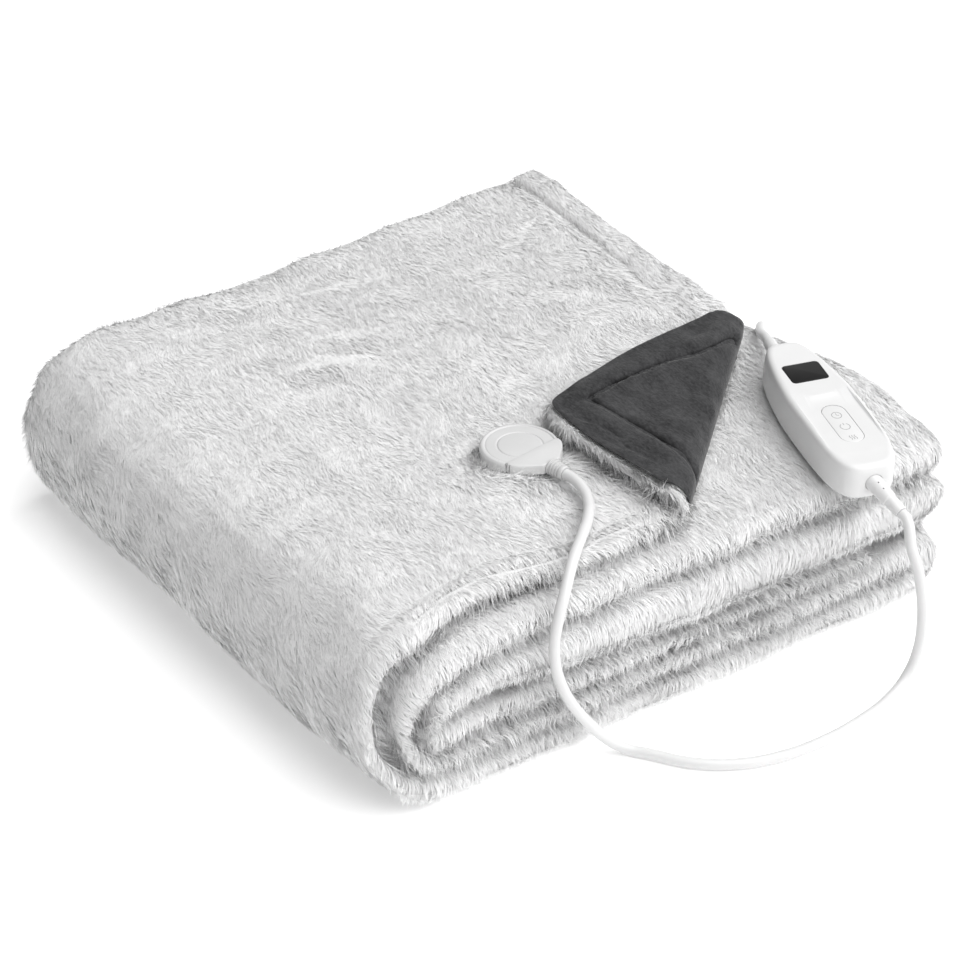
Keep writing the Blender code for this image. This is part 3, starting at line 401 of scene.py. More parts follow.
# --- the throw
# The pile stands this far above its backing, which keeps to the solid where it lies on the floor: below the
# first of these heights, and less and less up to the second.
PILE_DEPTH = 2.6
OFF_FLOOR = (0.5, 9.0)
LUMPS = (dict(length=90.0, high=1.0, seed=3), dict(length=34.0, high=0.7, seed=4))
# The top is plumper along these paths: its right-hand edge, and round the socket, which presses into it.
RIDGES = (
    dict(path=((186, -8), (196, -45), (203, -75), (206, -105), (208, -140)), high=4.5, width=8.0),
    dict(path=[(-26.0 + 28.0 * math.cos(a), -80.5 + 28.0 * math.sin(a))
               for a in np.radians(np.arange(-30.0, 240.0, 9.0))], high=4.2, width=6.0),
)
# The ridges, and the seams below, are only on cloth above this height.
TOP_ABOVE = 90.0
# The share of rays that go this far without meeting cloth says how open a place is, and whether it is seen.
OPEN_RAYS = 24
OPEN_REACH = 16.0
SEEN_REACH = 90.0
RAYS = dict(start=0.4, spread=0.95)
# Hair thins out where the share of rays that go far falls from the second number to the first.
HIDDEN = (0.0, 0.1)
# For each side of the throw: hairs to the square millimetre, and the corners of a hair, three where it is
# straight and five where it bends.
FUR = (
    dict(name="top", density=1.35, pieces=2, corners=3),
    dict(name="left", density=1.35, pieces=1, corners=3),
    dict(name="near", density=1.7, pieces=1, corners=5),
    dict(name="right", density=1.2, pieces=1, corners=3),
    dict(name="far", density=1.2, pieces=1, corners=3),
)
# A side is upright where its normal's height is under the first number, and near or far where the normal
# goes that way by more than the second. No hair grows under the stack, up to the last.
SIDES = dict(upright=0.62, end=0.45, underside=-0.6, under=6.0)
HAIR = dict(length=8.0, spread=0.22, lengths=(0.5, 1.6), width=0.56, widths=(0.7, 1.2), lift=15.0,
            lift_spread=3.5, least_lift=3.0, roll=22.0, taper=0.8, root=0.2, face=0.1)
# The outer half of a hair keeps these shares of its lift and of what a piece raises it by.
BEND = dict(lift=0.35, raised=0.5)
# Hairs grow longer, stand up and hang over in a parting. It is deepest where the first share of rays is
# free, and ends at the second.
PARTED = (0.35, 0.85)
TUFT = dict(length=7.0, lift=50.0, droop=-0.25)
# The share of dark hairs, everywhere as the fur's own random tone and in a parting as painted shade; and
# where on the hair's own ramp each kind begins.
DARK_TONE_AND_SHADE = dict(everywhere=0.015, parted=0.3, own=(0.0, 0.1))
LIGHT_OWN = (0.12, 1.0)
# The way the pile lies, with its weight's pull, and how far it strays.
NAP = Vector((-0.12, -1.0, -0.42))
STRAY = dict(field=13.0, own=8.0, length=42.0, seed=7)
CLUMP = dict(length=6.5, turn=7.0, lift=1.5, turn_seed=8, lift_seed=9)
# A hair that comes out of a hard piece is left out, and one that ends in a piece goes in this far at least.
HARD_MARGIN = 12.0
TIP_DEPTH = 0.3
TIP_DEPTHS = dict(corner_lining=1.8)
LOWEST_HAIR = 0.4
# The pile stands up against these nodes, this far round them and by these degrees.
CROWD_REACH = 9.0
CROWD = dict(blanket_socket=52.0, lead_plug=48.0, corner_lining=30.0)
# The hem's seams, seen from above: the backing is drawn in along them, and hair there is short and dark; the
# dark hairs and the darker backing there are painted shade in the seam's groove.
FUR_SEAMS = (
    ((176, 228), (175.3, 208), (173.8, 148.1), (167.5, 93.5), (156.4, 32.7), (149.4, -15.2), (146, -40)),
    ((-162, -172), (-154.5, -169.2), (-135.8, -164.7), (-110.6, -165.9), (-86.6, -170.9), (-60, -173.5),
     (-30, -172), (0, -170)),
)
FUR_SEAM = dict(width=2.0, depth=2.6, clear=3.5, short=0.35, dark=0.75, closed=0.9)
HARD_NODES = ("blanket_socket", "lead_plug", "lead_plug_relief", "controller_housing", "lead_relief",
              "mains_relief", "connector_lead", "mains_lead", "corner_lining")


def waves(points, length, seed, count=14):
    """A smooth random field from about -1 to 1, whose waves are about as long as length, in millimetres."""
    draw = np.random.default_rng(seed)
    ways = draw.normal(size=(count, 3))
    ways *= (draw.uniform(0.7, 1.5, count) / np.linalg.norm(ways, axis=1))[:, None]
    phase = draw.uniform(0.0, 2 * math.pi, count)
    return np.sin(points @ ways.T * (2 * math.pi / (length * MM)) + phase).sum(axis=1) * 1.4 / count ** 0.5


def bell(away, width):
    """1 at nothing away, and next to 0 at twice the width."""
    return np.exp(-(away / width) ** 2)


def unit(vectors):
    return vectors / np.linalg.norm(vectors, axis=1)[:, None]


def node_bmesh(name):
    mesh = bmesh.new()
    mesh.from_mesh(nodes[name].data)
    bmesh.ops.remove_doubles(mesh, verts=mesh.verts, dist=1e-6)
    return mesh


def finer_node(name, piece, face_angle, shape_angle, halvings):
    """A node's mesh as a new piece, joined to four-sided faces and halved this many times."""
    mesh = node_bmesh(name)
    bmesh.ops.join_triangles(mesh, faces=mesh.faces, angle_face_threshold=math.radians(face_angle),
                             angle_shape_threshold=math.radians(shape_angle))
    item = from_bmesh(piece, mesh)
    modifier = item.modifiers.new("finer", "SUBSURF")
    modifier.levels = modifier.render_levels = halvings
    return with_modifiers(item)


def give(data, name, values):
    """Keeps a number for each point of a mesh, which its material reads."""
    data.attributes.new(name, "FLOAT", "POINT").data.foreach_set("value", values.astype(np.float32))


def move_points(item, places):
    item.data.vertices.foreach_set("co", places.ravel())
    item.data.update()


def mesh_arrays(data):
    """Places and normals of a mesh's points, and the points of its triangles."""
    places = np.empty(len(data.vertices) * 3)
    data.vertices.foreach_get("co", places)
    normals = np.empty(len(data.vertices) * 3)
    data.vertex_normals.foreach_get("vector", normals)
    data.calc_loop_triangles()
    corners = np.empty(len(data.loop_triangles) * 3, np.int32)
    data.loop_triangles.foreach_get("vertices", corners)
    return places.reshape(-1, 3), normals.reshape(-1, 3), corners.reshape(-1, 3)


def openness(places, normals, tree):
    """For each point, the shares of rays round its normal that meet nothing near, and nothing far off."""
    draw = np.random.default_rng(SEED)
    rays = unit(draw.normal(size=(OPEN_RAYS, 3)))
    free, seen = np.zeros(len(places)), np.zeros(len(places))
    starts = (places + normals * RAYS["start"] * MM).tolist()
    for ray in rays:
        ways = unit(normals + RAYS["spread"] * ray)
        for i, (start, way) in enumerate(zip(starts, ways.tolist())):
            met = tree.ray_cast(start, way, SEEN_REACH * MM)[3]
            free[i] += met is None or met > OPEN_REACH * MM
            seen[i] += met is None
    return free / OPEN_RAYS, seen / OPEN_RAYS


def seamed(places, width):
    """From 0 to 1 for each place, how near it is to a seam of the hem."""
    away = np.minimum.reduce([path_distance(places[:, :2] / MM, path)[0] for path in FUR_SEAMS])
    return bell(away, width) * (places[:, 2] > TOP_ABOVE * MM)


def build_skin():
    """The cloth under the hair: the solid's folds, drawn in by the pile's depth and unevenly filled."""
    skin = finer_node("throw_cloth", "throw_skin", face_angle=30.0, shape_angle=60.0, halvings=1)
    places, normals, _ = mesh_arrays(skin.data)
    lumps = sum(row["high"] * waves(places, row["length"], row["seed"]) for row in LUMPS)
    off_floor = ease(OFF_FLOOR[0] * MM, OFF_FLOOR[1] * MM, places[:, 2])
    for row in RIDGES:
        away, _ = path_distance(places[:, :2] / MM, row["path"])
        lumps += row["high"] * bell(away, row["width"]) * (places[:, 2] > TOP_ABOVE * MM)
    depth = (PILE_DEPTH - lumps + FUR_SEAM["depth"] * seamed(places, FUR_SEAM["width"])) * MM
    moved = places - normals * (depth * off_floor)[:, None]
    moved[:, 2] = np.maximum(moved[:, 2], 0.0)
    move_points(skin, moved)
    places, normals, corners = mesh_arrays(skin.data)
    tree = BVHTree.FromPolygons(places.tolist(), corners.tolist())
    free, seen = openness(places, normals, tree)
    # The backing's colour reads this share: painted shade in the partings, deepened along the seams.
    give(skin.data, "open", free * (1.0 - FUR_SEAM["closed"] * seamed(places, FUR_SEAM["width"])))
    return skin, places, normals, corners, free, seen


def sides(normals, places):
    """Which row of FUR each point belongs to."""
    side = np.zeros(len(normals), int)
    upright = normals[:, 2] < SIDES["upright"]
    side[upright & (normals[:, 1] < -SIDES["end"])] = 2
    side[upright & (normals[:, 1] > SIDES["end"])] = 4
    side[upright & (side == 0) & (places[:, 0] < 0.0)] = 1
    side[upright & (side == 0)] = 3
    return side


def scatter(places, normals, corners, free, seen, draw):
    """Random points over the cloth's open surface, with their normals, openness and row of FUR."""
    a, b, c = (places[corners[:, k]] for k in range(3))
    crossed = np.cross(b - a, c - a)
    area = np.linalg.norm(crossed, axis=1) / 2
    flat = crossed / np.maximum(2 * area, 1e-12)[:, None]
    middle = (a + b + c) / 3
    seen_here = seen[corners].max(axis=1)
    side = sides(flat, middle)
    under = (flat[:, 2] < SIDES["underside"]) & (middle[:, 2] < SIDES["under"] * MM)
    density = np.array([row["density"] for row in FUR])[side] * ease(*HIDDEN, seen_here) * ~under
    counts = draw.poisson(area / MM ** 2 * density)
    pick = np.repeat(np.arange(len(corners)), counts)
    u, v = draw.random(len(pick)), draw.random(len(pick))
    over = u + v > 1.0
    u[over], v[over] = 1.0 - u[over], 1.0 - v[over]
    weights = np.stack([1.0 - u - v, u, v], axis=1)[:, :, None]
    roots = (places[corners[pick]] * weights).sum(axis=1)
    ways = unit((normals[corners[pick]] * weights).sum(axis=1))
    return roots, ways, (free[corners[pick]] * weights[:, :, 0]).sum(axis=1), side[pick]


def combed(roots, ways, draw):
    """The way that the pile lies at each root, along the surface."""
    nap = np.array(NAP)
    lie = nap - ways * (ways @ nap)[:, None]
    lie /= np.maximum(np.linalg.norm(lie, axis=1), 1e-6)[:, None]
    across = np.cross(ways, lie)
    turn = np.radians(STRAY["field"] * waves(roots, STRAY["length"], STRAY["seed"])
                      + CLUMP["turn"] * waves(roots, CLUMP["length"], CLUMP["turn_seed"])
                      + draw.normal(0.0, STRAY["own"], len(roots)))
    return lie * np.cos(turn)[:, None] + across * np.sin(turn)[:, None]


def strands(roots, ways, free, raised, draw):
    """Five points for each hair, two at its root, two halfway and its tip, and its place on its own ramp."""
    count = len(roots)
    parted = 1.0 - ease(*PARTED, free)
    length = (HAIR["length"] + TUFT["length"] * parted * draw.random(count)) * MM
    length *= np.clip(draw.normal(1.0, HAIR["spread"], count), *HAIR["lengths"])
    length *= 1.0 - FUR_SEAM["short"] * seamed(roots, FUR_SEAM["clear"])
    clumped = CLUMP["lift"] * waves(roots, CLUMP["length"], CLUMP["lift_seed"])
    lift = HAIR["lift"] + draw.normal(0.0, HAIR["lift_spread"], count) + clumped
    lift = np.radians(np.maximum(lift, HAIR["least_lift"]) + TUFT["lift"] * parted + raised)
    lie = combed(roots, ways, draw)
    first = lie * np.cos(lift)[:, None] + ways * np.sin(lift)[:, None]
    bend = BEND["lift"] * lift + BEND["raised"] * np.radians(raised)
    second = lie * np.cos(bend)[:, None] + ways * np.sin(bend)[:, None]
    second += np.array((0.0, 0.0, TUFT["droop"])) * parted[:, None]
    side = unit(np.cross(ways, first))
    roll = np.radians(draw.normal(0.0, HAIR["roll"], count))
    side = side * np.cos(roll)[:, None] + ways * np.sin(roll)[:, None]
    half = -side * (HAIR["width"] / 2 * MM * draw.uniform(*HAIR["widths"], count))[:, None]
    start = roots - ways * (HAIR["root"] * MM)
    middle = start + first * (length * 0.5)[:, None]
    tip = middle + second * (length * 0.5)[:, None]
    waist = half * HAIR["taper"]
    points = np.stack([start - half, start + half, middle + waist, middle - waist, tip], axis=1)
    own = draw.uniform(*LIGHT_OWN, count)
    # Dark hairs: a few at random everywhere as the fur's own tone, and more in partings and along seams as
    # painted shade.
    dark_and_shade_share = (DARK_TONE_AND_SHADE["everywhere"] + DARK_TONE_AND_SHADE["parted"] * parted ** 3
                  + FUR_SEAM["dark"] * seamed(roots, FUR_SEAM["width"]))
    dark = draw.random(count) < dark_and_shade_share
    own[dark] = draw.uniform(*DARK_TONE_AND_SHADE["own"], int(dark.sum()))
    return points, own


def clear_of_hard(points, trees):
    """False for each hair that would come out of a hard piece's far side, or just touch it with its tip."""
    keep = np.ones(len(points), bool)
    for name, (tree, low, high) in trees.items():
        depth, margin = TIP_DEPTHS.get(name, TIP_DEPTH) * MM, HARD_MARGIN * MM
        near = np.all((points[:, 4] > low - margin) & (points[:, 4] < high + margin), axis=1) & keep
        for i in np.flatnonzero(near):
            root, tip = Vector((points[i, 0] + points[i, 1]) / 2), Vector(points[i, 4])
            span = tip - root
            if tree.ray_cast(root, span, span.length)[0] is not None:
                place, normal, *_ = tree.find_nearest(tip)
                keep[i] = (tip - place).dot(normal) < -depth
    return keep


def crowding(roots, trees):
    """For each root, the degrees by which the pile stands up against a piece near it."""
    raised = np.zeros(len(roots))
    reach = CROWD_REACH * MM
    for name, lift in CROWD.items():
        tree, low, high = trees[name]
        near = np.all((roots > low - reach) & (roots < high + reach), axis=1)
        for i in np.flatnonzero(near):
            away = tree.find_nearest(Vector(roots[i]), reach)[3]
            if away is not None:
                raised[i] = max(raised[i], lift * (1.0 - away / reach))
    return raised


# For each kind of hair: which of its five points it has, its faces' corners, where each face starts, and how
# far along the hair each point is.
HAIR_FORMS = {
    3: dict(points=(0, 1, 4), loops=(0, 1, 2), starts=(0,), along=(0.0, 0.0, 1.0)),
    5: dict(points=(0, 1, 2, 3, 4), loops=(0, 1, 2, 3, 3, 2, 4), starts=(0, 4),
            along=(0.0, 0.0, 0.5, 0.5, 1.0)),
}


def hair_mesh(name, points, own, shade, form):
    """A mesh of many hairs. Its UVs hold each hair's place on its ramp, and how far along it a point is."""
    count, each, around = len(points), len(form["points"]), len(form["loops"])
    data = bpy.data.meshes.new(name)
    data.vertices.add(count * each)
    data.vertices.foreach_set("co", points[:, form["points"]].ravel())
    hairs = np.arange(count)[:, None]
    data.loops.add(count * around)
    data.loops.foreach_set("vertex_index", (hairs * each + np.array(form["loops"])).ravel())
    data.polygons.add(count * len(form["starts"]))
    data.polygons.foreach_set("loop_start", (hairs * around + np.array(form["starts"])).ravel())
    data.polygons.foreach_set("use_smooth", np.ones(len(data.polygons), bool))
    data.update(calc_edges=True)
    along = np.tile(np.array(form["along"])[list(form["loops"])], count)
    strand = np.stack([np.repeat(own, around), along], axis=1)
    data.uv_layers.new(name="strand").data.foreach_set("uv", strand.ravel())
    data.normals_split_custom_set_from_vertices(np.repeat(shade, each, axis=0))
    return link(bpy.data.objects.new(name, data))


def build_throw():
    """The backing, and the hair on it in one mesh or two for each side."""
    draw = np.random.default_rng(SEED)
    skin, places, normals, corners, free, seen = build_skin()
    show(skin, fur_skin(), "fur", "throw_cloth")
    roots, ways, root_free, side = scatter(places, normals, corners, free, seen, draw)
    trees = {name: (BVHTree.FromBMesh(node_bmesh(name)), *map(np.array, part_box(name)))
             for name in HARD_NODES}
    points, own = strands(roots, ways, root_free, crowding(roots, trees), draw)
    keep = clear_of_hard(points, trees)
    keep &= points[:, :, 2].min(axis=1) > LOWEST_HAIR * MM
    face = unit(np.cross(points[:, 1] - points[:, 0], points[:, 4] - points[:, 0]))
    face *= np.sign((face * ways).sum(axis=1))[:, None]
    shade = unit((1.0 - HAIR["face"]) * ways + HAIR["face"] * face)
    hair = fur_hair()
    made = []
    for index, row in enumerate(FUR):
        chosen = np.flatnonzero(keep & (side == index))
        for part in range(row["pieces"]):
            some = chosen[part::row["pieces"]]
            name = f"fur_{row['name']}" + (f"_{part + 1}" if row["pieces"] > 1 else "")
            form = HAIR_FORMS[row["corners"]]
            made.append(show(hair_mesh(name, points[some], own[some], shade[some], form), hair, "fur"))
    return skin, made


# --- shapes in millimetres
def placed(origin, turn):
    """Takes a piece's own millimetres to its place in the frame."""
    return Matrix.Translation(Vector(origin) * MM) @ turn.to_4x4() @ Matrix.Diagonal((MM, MM, MM, 1.0))


def heading_turn(heading, up=UP):
    """Y along heading and Z near up."""
    y_axis = heading.normalized()
    x_axis = y_axis.cross(up).normalized()
    return Matrix((x_axis, y_axis, x_axis.cross(y_axis))).transposed()


def on_axis(origin, direction):
    """The place of a piece whose Z runs along direction."""
    return placed(origin, direction.to_track_quat("Z", "Y").to_matrix())


def through(points, count):
    """Evenly spread points of a smooth curve through the given ones."""
    points = np.array(points, float)
    keys = np.concatenate([[0.0], np.cumsum(np.linalg.norm(np.diff(points, axis=0), axis=1) ** 0.5)])
    slopes = np.gradient(points, keys, axis=0)
    at = np.linspace(0.0, keys[-1], count)
    i = np.clip(np.searchsorted(keys, at, side="right") - 1, 0, len(keys) - 2)
    h = (keys[i + 1] - keys[i])[:, None]
    t = (at - keys[i])[:, None] / h
    return ((2 * t ** 3 - 3 * t ** 2 + 1) * points[i] + (t ** 3 - 2 * t ** 2 + t) * h * slopes[i]
            + (3 * t ** 2 - 2 * t ** 3) * points[i + 1] + (t ** 3 - t ** 2) * h * slopes[i + 1])


def turned(name, profile, count, place):
    """A piece turned about its Z, from (radius, height) rows whose first and last are closed flat."""
    angles = np.linspace(0.0, 2 * math.pi, count, endpoint=False)
    rings = [[(r * math.cos(a), r * math.sin(a), z) for a in angles] for r, z in profile]
    return from_bmesh(name, loft(rings), place)


def rounded(profile, round_by, steps=4):
    """The profile with each of its corners worn to a small arc."""
    points = [np.array(p, float) for p in profile]
    out = [points[0]]
    for before, corner, after in zip(points, points[1:], points[2:]):
        a, b = before - corner, after - corner
        cut_a, cut_b = (min(round_by, 0.45 * np.linalg.norm(side)) for side in (a, b))
        start, end = corner + a / np.linalg.norm(a) * cut_a, corner + b / np.linalg.norm(b) * cut_b
        for t in np.linspace(0.0, 1.0, steps):
            out.append((1 - t) ** 2 * start + 2 * t * (1 - t) * corner + t * t * end)
    return out + [points[-1]]


def squared(angle, power):
    """The cosine and sine of an angle, drawn out towards a square's corners."""
    c, s = math.cos(angle), math.sin(angle)
    return math.copysign(abs(c) ** (2 / power), c), math.copysign(abs(s) ** (2 / power), s)


def superellipse(half_x, half_y, power, count):
    angles = np.linspace(0.0, 2 * math.pi, count, endpoint=False)
    return [(half_x * c, half_y * s) for c, s in (squared(angle, power) for angle in angles)]


def rounded_rectangle(width, length, radius, y=0.0, steps=10):
    points = []
    for start, sx, sy in ((0.0, 1, 1), (90.0, -1, 1), (180.0, -1, -1), (270.0, 1, -1)):
        for angle in np.radians(np.linspace(start, start + 90.0, steps)):
            points.append((sx * (width / 2 - radius) + radius * math.cos(angle),
                           y + sy * (length / 2 - radius) + radius * math.sin(angle)))
    return points


def prism(outline, low, high):
    """A straight-sided solid of this outline."""
    return loft([[(x, y, z) for x, y in outline] for z in (low, high)])


def slab(outline, low, high, edge, centre_y):
    """A flat piece of this outline round (0, centre_y), whose upper edge is rounded by edge."""
    reach = max(abs(x) for x, _ in outline)
    rings = []
    for inset, z in ((0.0, low), (0.0, high - edge), (0.3 * edge, high - 0.3 * edge), (edge, high)):
        share = 1.0 - inset / reach
        rings.append([(x * share, centre_y + (y - centre_y) * share, z) for x, y in outline])
    return loft(rings)


def stroke(mesh, points, width, low, high, closed=False):
    """Adds a raised line of this width along the points, which lie in the plan."""
    points = [Vector(p) for p in points]
    sections = []
    for index, point in enumerate(points):
        before = points[index - 1] if index or closed else point
        after = points[(index + 1) % len(points)] if index < len(points) - 1 or closed else point
        side = (after - before).normalized().orthogonal() * width / 2
        edges = ((-1, low), (1, low), (1, high), (-1, high))
        sections.append([mesh.verts.new((*(point + s * side), z)) for s, z in edges])
    pairs = list(zip(sections, sections[1:]))
    if closed:
        pairs.append((sections[-1], sections[0]))
    for first, second in pairs:
        for j in range(4):
            mesh.faces.new((first[j], first[(j + 1) % 4], second[(j + 1) % 4], second[j]))
    if not closed:
        mesh.faces.new(sections[0])
        mesh.faces.new(sections[-1])


def cut(item, *cutters):
    """Takes each cutter out of the item."""
    for cutter in cutters:
        modifier = item.modifiers.new("cut", "BOOLEAN")
        modifier.operation = "DIFFERENCE"
        modifier.solver = "EXACT"
        modifier.object = cutter
    with_modifiers(item)
    for cutter in cutters:
        bpy.data.objects.remove(cutter)
    smooth(item.data, sharp_from=38.0)
    return item


# --- the socket, plug and reliefs
GAP = 0.3
SOCKET_PLACE = (-26.0, -80.5, 122.532)
PLUG_WAY = Vector((0.134, -0.991, 0.0)).normalized()
SOCKET_PROFILE = ((22.6, 0), (24, 1.4), (24, 6.4), (23, 7.8), (21.6, 8), (21, 7.3), (20.4, 7.3), (20, 7.6),
                  (14.4, 7.6), (13.9, 7.15), (13.4, 7.15), (12.9, 7.7), (0.4, 7.9))
PLUG_HALVES = ((21, 9.6), (21.4, 12), (19.8, 15.5), (15.4, 20), (10.4, 24), (6.6, 27))
PLUG_LEVELS = ((0.96, 2.3), (0.985, 2.6), (1, 3.6), (1, 6.6), (0.985, 7.7), (0.955, 8.4), (0.91, 8.7))
PLUG_FLOOR, PLUG_MIDDLE = 2.3, 17.75
PLUG_NOTCHES = dict(along=(10.8, 13.0), width=0.9, depth=1.6, reach=21.8, middle=6.0, high=8.0)
PLUG_RELIEF = dict(place=(-22.409, -107.058, 127.932), ribs=4, start=0.4, pitch=2.1, width=1.2, radius=5.3,
                   taper=0.25, depth=0.9, base=4.6, tip=((4.5, 8.8), (4.4, 10.4), (3.8, 11.4)))
RELIEF_PROFILE = ((5.3, 0), (5.3, 4), (5.2, 7), (4.75, 16.6), (4.6, 17.4), (4.2, 17.7), (4.1, 22),
                  (3.8, 28))
RELIEF_DIMPLES = dict(along=(6.6, 11.4), radius=0.5, depth=1.0, facing=Vector((-0.3, -0.45, 0.85)))
RELIEFS = (
    dict(node="lead_relief", place=(129.89, -215.259, 119.454), way=Vector((0.05008, -0.9314, -0.36054))),
    dict(node="mains_relief", place=(162.111, -93.746, 128.014), way=Vector((0.42152, 0.90326, -0.08029))),
)


def plug_outline(widen=0.0):
    right = [(x + widen, y) for x, y in through(PLUG_HALVES, 26)]
    right[0] = (right[0][0], right[0][1] - widen)
    right[-1] = (right[-1][0], right[-1][1] + widen)
    return right + [(-x, y) for x, y in reversed(right)]


def build_socket(plastic):
    place = placed(SOCKET_PLACE, heading_turn(PLUG_WAY))
    socket = turned("socket_disc", rounded(SOCKET_PROFILE, 0.5), 112, place)
    seat = prism(plug_outline(GAP), low=PLUG_FLOOR - GAP, high=20.0)
    show(cut(socket, from_bmesh("seat", seat, place)), plastic, "connector_plastic", "blanket_socket")
    rings = [[(x * share, PLUG_MIDDLE + (y - PLUG_MIDDLE) * share, z) for x, y in plug_outline()]
             for share, z in through(PLUG_LEVELS, 18)]
    plug = from_bmesh("plug_body", loft(rings), place)
    row, notches = PLUG_NOTCHES, []
    size = Matrix.Diagonal((2 * row["depth"], row["width"], row["high"], 1.0))
    for side in (-1.0, 1.0):
        for along in row["along"]:
            mesh = bmesh.new()
            bmesh.ops.create_cube(mesh, size=1.0)
            mesh.transform(Matrix.Translation((side * row["reach"], along, row["middle"])) @ size)
            notches.append(from_bmesh("notch", mesh, place))
    show(cut(plug, *notches), plastic, "connector_plastic", "lead_plug")


def build_plug_relief(plastic):
    row = PLUG_RELIEF
    profile = [(0.4, 0.0), (row["base"], 0.0)]
    for rib in range(row["ribs"]):
        start = row["start"] + rib * row["pitch"]
        radius = row["radius"] - row["taper"] * rib
        groove = radius - row["depth"]
        profile += [(radius, start), (radius, start + row["width"]), (groove, start + row["width"] + 0.2),
                    (groove, start + row["pitch"] - 0.2)]
    profile += [*row["tip"], (0.4, row["tip"][-1][1])]
    relief = turned("plug_ribs", rounded(profile, 0.3), 56, on_axis(row["place"], PLUG_WAY))
    show(relief, plastic, "connector_plastic", "lead_plug_relief")


def build_reliefs(plastic):
    """The controller's two stepped sleeves, each with two moulding dimples on its upper side."""
    profile = rounded([(0.4, 0.0), *RELIEF_PROFILE, (0.4, RELIEF_PROFILE[-1][1])], 0.4)
    radius, floor = RELIEF_DIMPLES["radius"], RELIEF_PROFILE[3][0] - RELIEF_DIMPLES["depth"]
    for row in RELIEFS:
        way = row["way"].normalized()
        relief = turned(row["node"] + "_sleeve", profile, 64, on_axis(row["place"], way))
        facing = RELIEF_DIMPLES["facing"]
        facing = (facing - way * facing.dot(way)).normalized()
        dimples = []
        for along in RELIEF_DIMPLES["along"]:
            at = on_axis(Vector(row["place"]) + way * along + facing * floor, facing)
            dimples.append(turned("dimple", ((radius, 0.0), (radius, 3.0)), 16, at))
        show(cut(relief, *dimples), plastic, "relief_vinyl", row["node"])


# --- the controller
# The housing leans back by the slope, narrows towards its upper end and drops towards its lower one.
CONTROLLER_SLOPE = math.tan(math.radians(4.5))
CONTROLLER_WAY = Vector((0.255, 0.967, 0.0))
CONTROLLER = dict(place=(146.0, -153.6, 112.269), length=132.0, width=45.0, power=3.8, narrowing=0.22,
                  drop=0.07)
HOUSING_PROFILE = ((3.4, 0), (1.2, 0.9), (0.2, 2.8), (0, 9), (0.15, 19.8), (0.8, 22.8), (1.6, 23.9),
                   (2.8, 24.6), (4.2, 24.95), (6, 25))
PANEL = dict(width=38.0, length=67.0, y=-26.0, radius=10.0, floor=23.5, side=1.0, ramp=8.0)
DISPLAY = dict(width=24.0, length=18.5, y=31.0, radius=2.4, floor=23.8, top=25.1, edge=0.4)
KEYPAD = dict(width=15.0, length=38.0, y=-22.0, radius=7.2, floor=21.8, top=23.55, edge=0.3)
ICONS_Y = (-13.4, -25.2, -36.4)
ICON = dict(radius=3.0, line=0.42, high=0.05)


def recessed(x, y, z):
    """The housing's height z at a point, after its panel: steep at the sides and a long ramp at the top."""
    dx = abs(x) - PANEL["width"] / 2 + PANEL["radius"]
    dy = abs(y - PANEL["y"]) - PANEL["length"] / 2 + PANEL["radius"]
    inside = PANEL["radius"] - math.hypot(max(dx, 0.0), max(dy, 0.0)) - min(max(dx, dy), 0.0)
    ramp = min(max((PANEL["y"] + PANEL["length"] / 2 - y) / PANEL["ramp"], 0.0), 1.0)
    share = float(ease(0.0, PANEL["side"], inside)) * (1.0 - (1.0 - ramp) ** 2)
    return z - share * max(z - PANEL["floor"], 0.0)


def housing_mesh():
    count = 200
    rows = [(inset, z, 1.0) for inset, z in through(HOUSING_PROFILE, 34)]
    rows += [(*HOUSING_PROFILE[-1], share) for share in np.linspace(1.0, 0.03, 56)[1:]]
    rings = []
    for inset, z, share in rows:
        half_length = CONTROLLER["length"] / 2 - inset
        ring = []
        for x, y in superellipse(CONTROLLER["width"] / 2 - inset, half_length, CONTROLLER["power"], count):
            x, y = x * share, y * share
            x *= 1.0 - CONTROLLER["narrowing"] * float(ease(0.0, half_length, y))
            high = z * (1.0 - CONTROLLER["drop"] * float(ease(-0.3 * half_length, -half_length, y)))
            ring.append((x, y, recessed(x, y, high)))
        rings.append(ring)
    return loft(rings)


def icons_mesh():
    """A clock, a power sign and rising heat, as thin printed lines on the keypad."""
    mesh = bmesh.new()
    low, high, line, r = KEYPAD["top"], KEYPAD["top"] + ICON["high"], ICON["line"], ICON["radius"]
    clock, power, heat = ICONS_Y

    def arc(y, start, end, count=40):
        return [(r * math.cos(a), y + r * math.sin(a)) for a in np.radians(np.linspace(start, end, count))]

    stroke(mesh, arc(clock, 0.0, 351.0), line, low, high, closed=True)
    stroke(mesh, [(0.0, clock + 1.9), (0.0, clock), (1.4, clock - 0.5)], line, low, high)
    stroke(mesh, arc(power, 122.0, 418.0), line, low, high)
    stroke(mesh, [(0.0, power + 1.5), (0.0, power + r + 0.5)], line, low, high)
    for x in (-1.6, 0.0, 1.6):
        at = np.linspace(0.0, 1.0, 14)
        wave = [(x + 0.42 * math.sin(t * 2 * math.pi), heat - 2.1 + 4.2 * t) for t in at]
        stroke(mesh, wave, line, low, high)
    return mesh


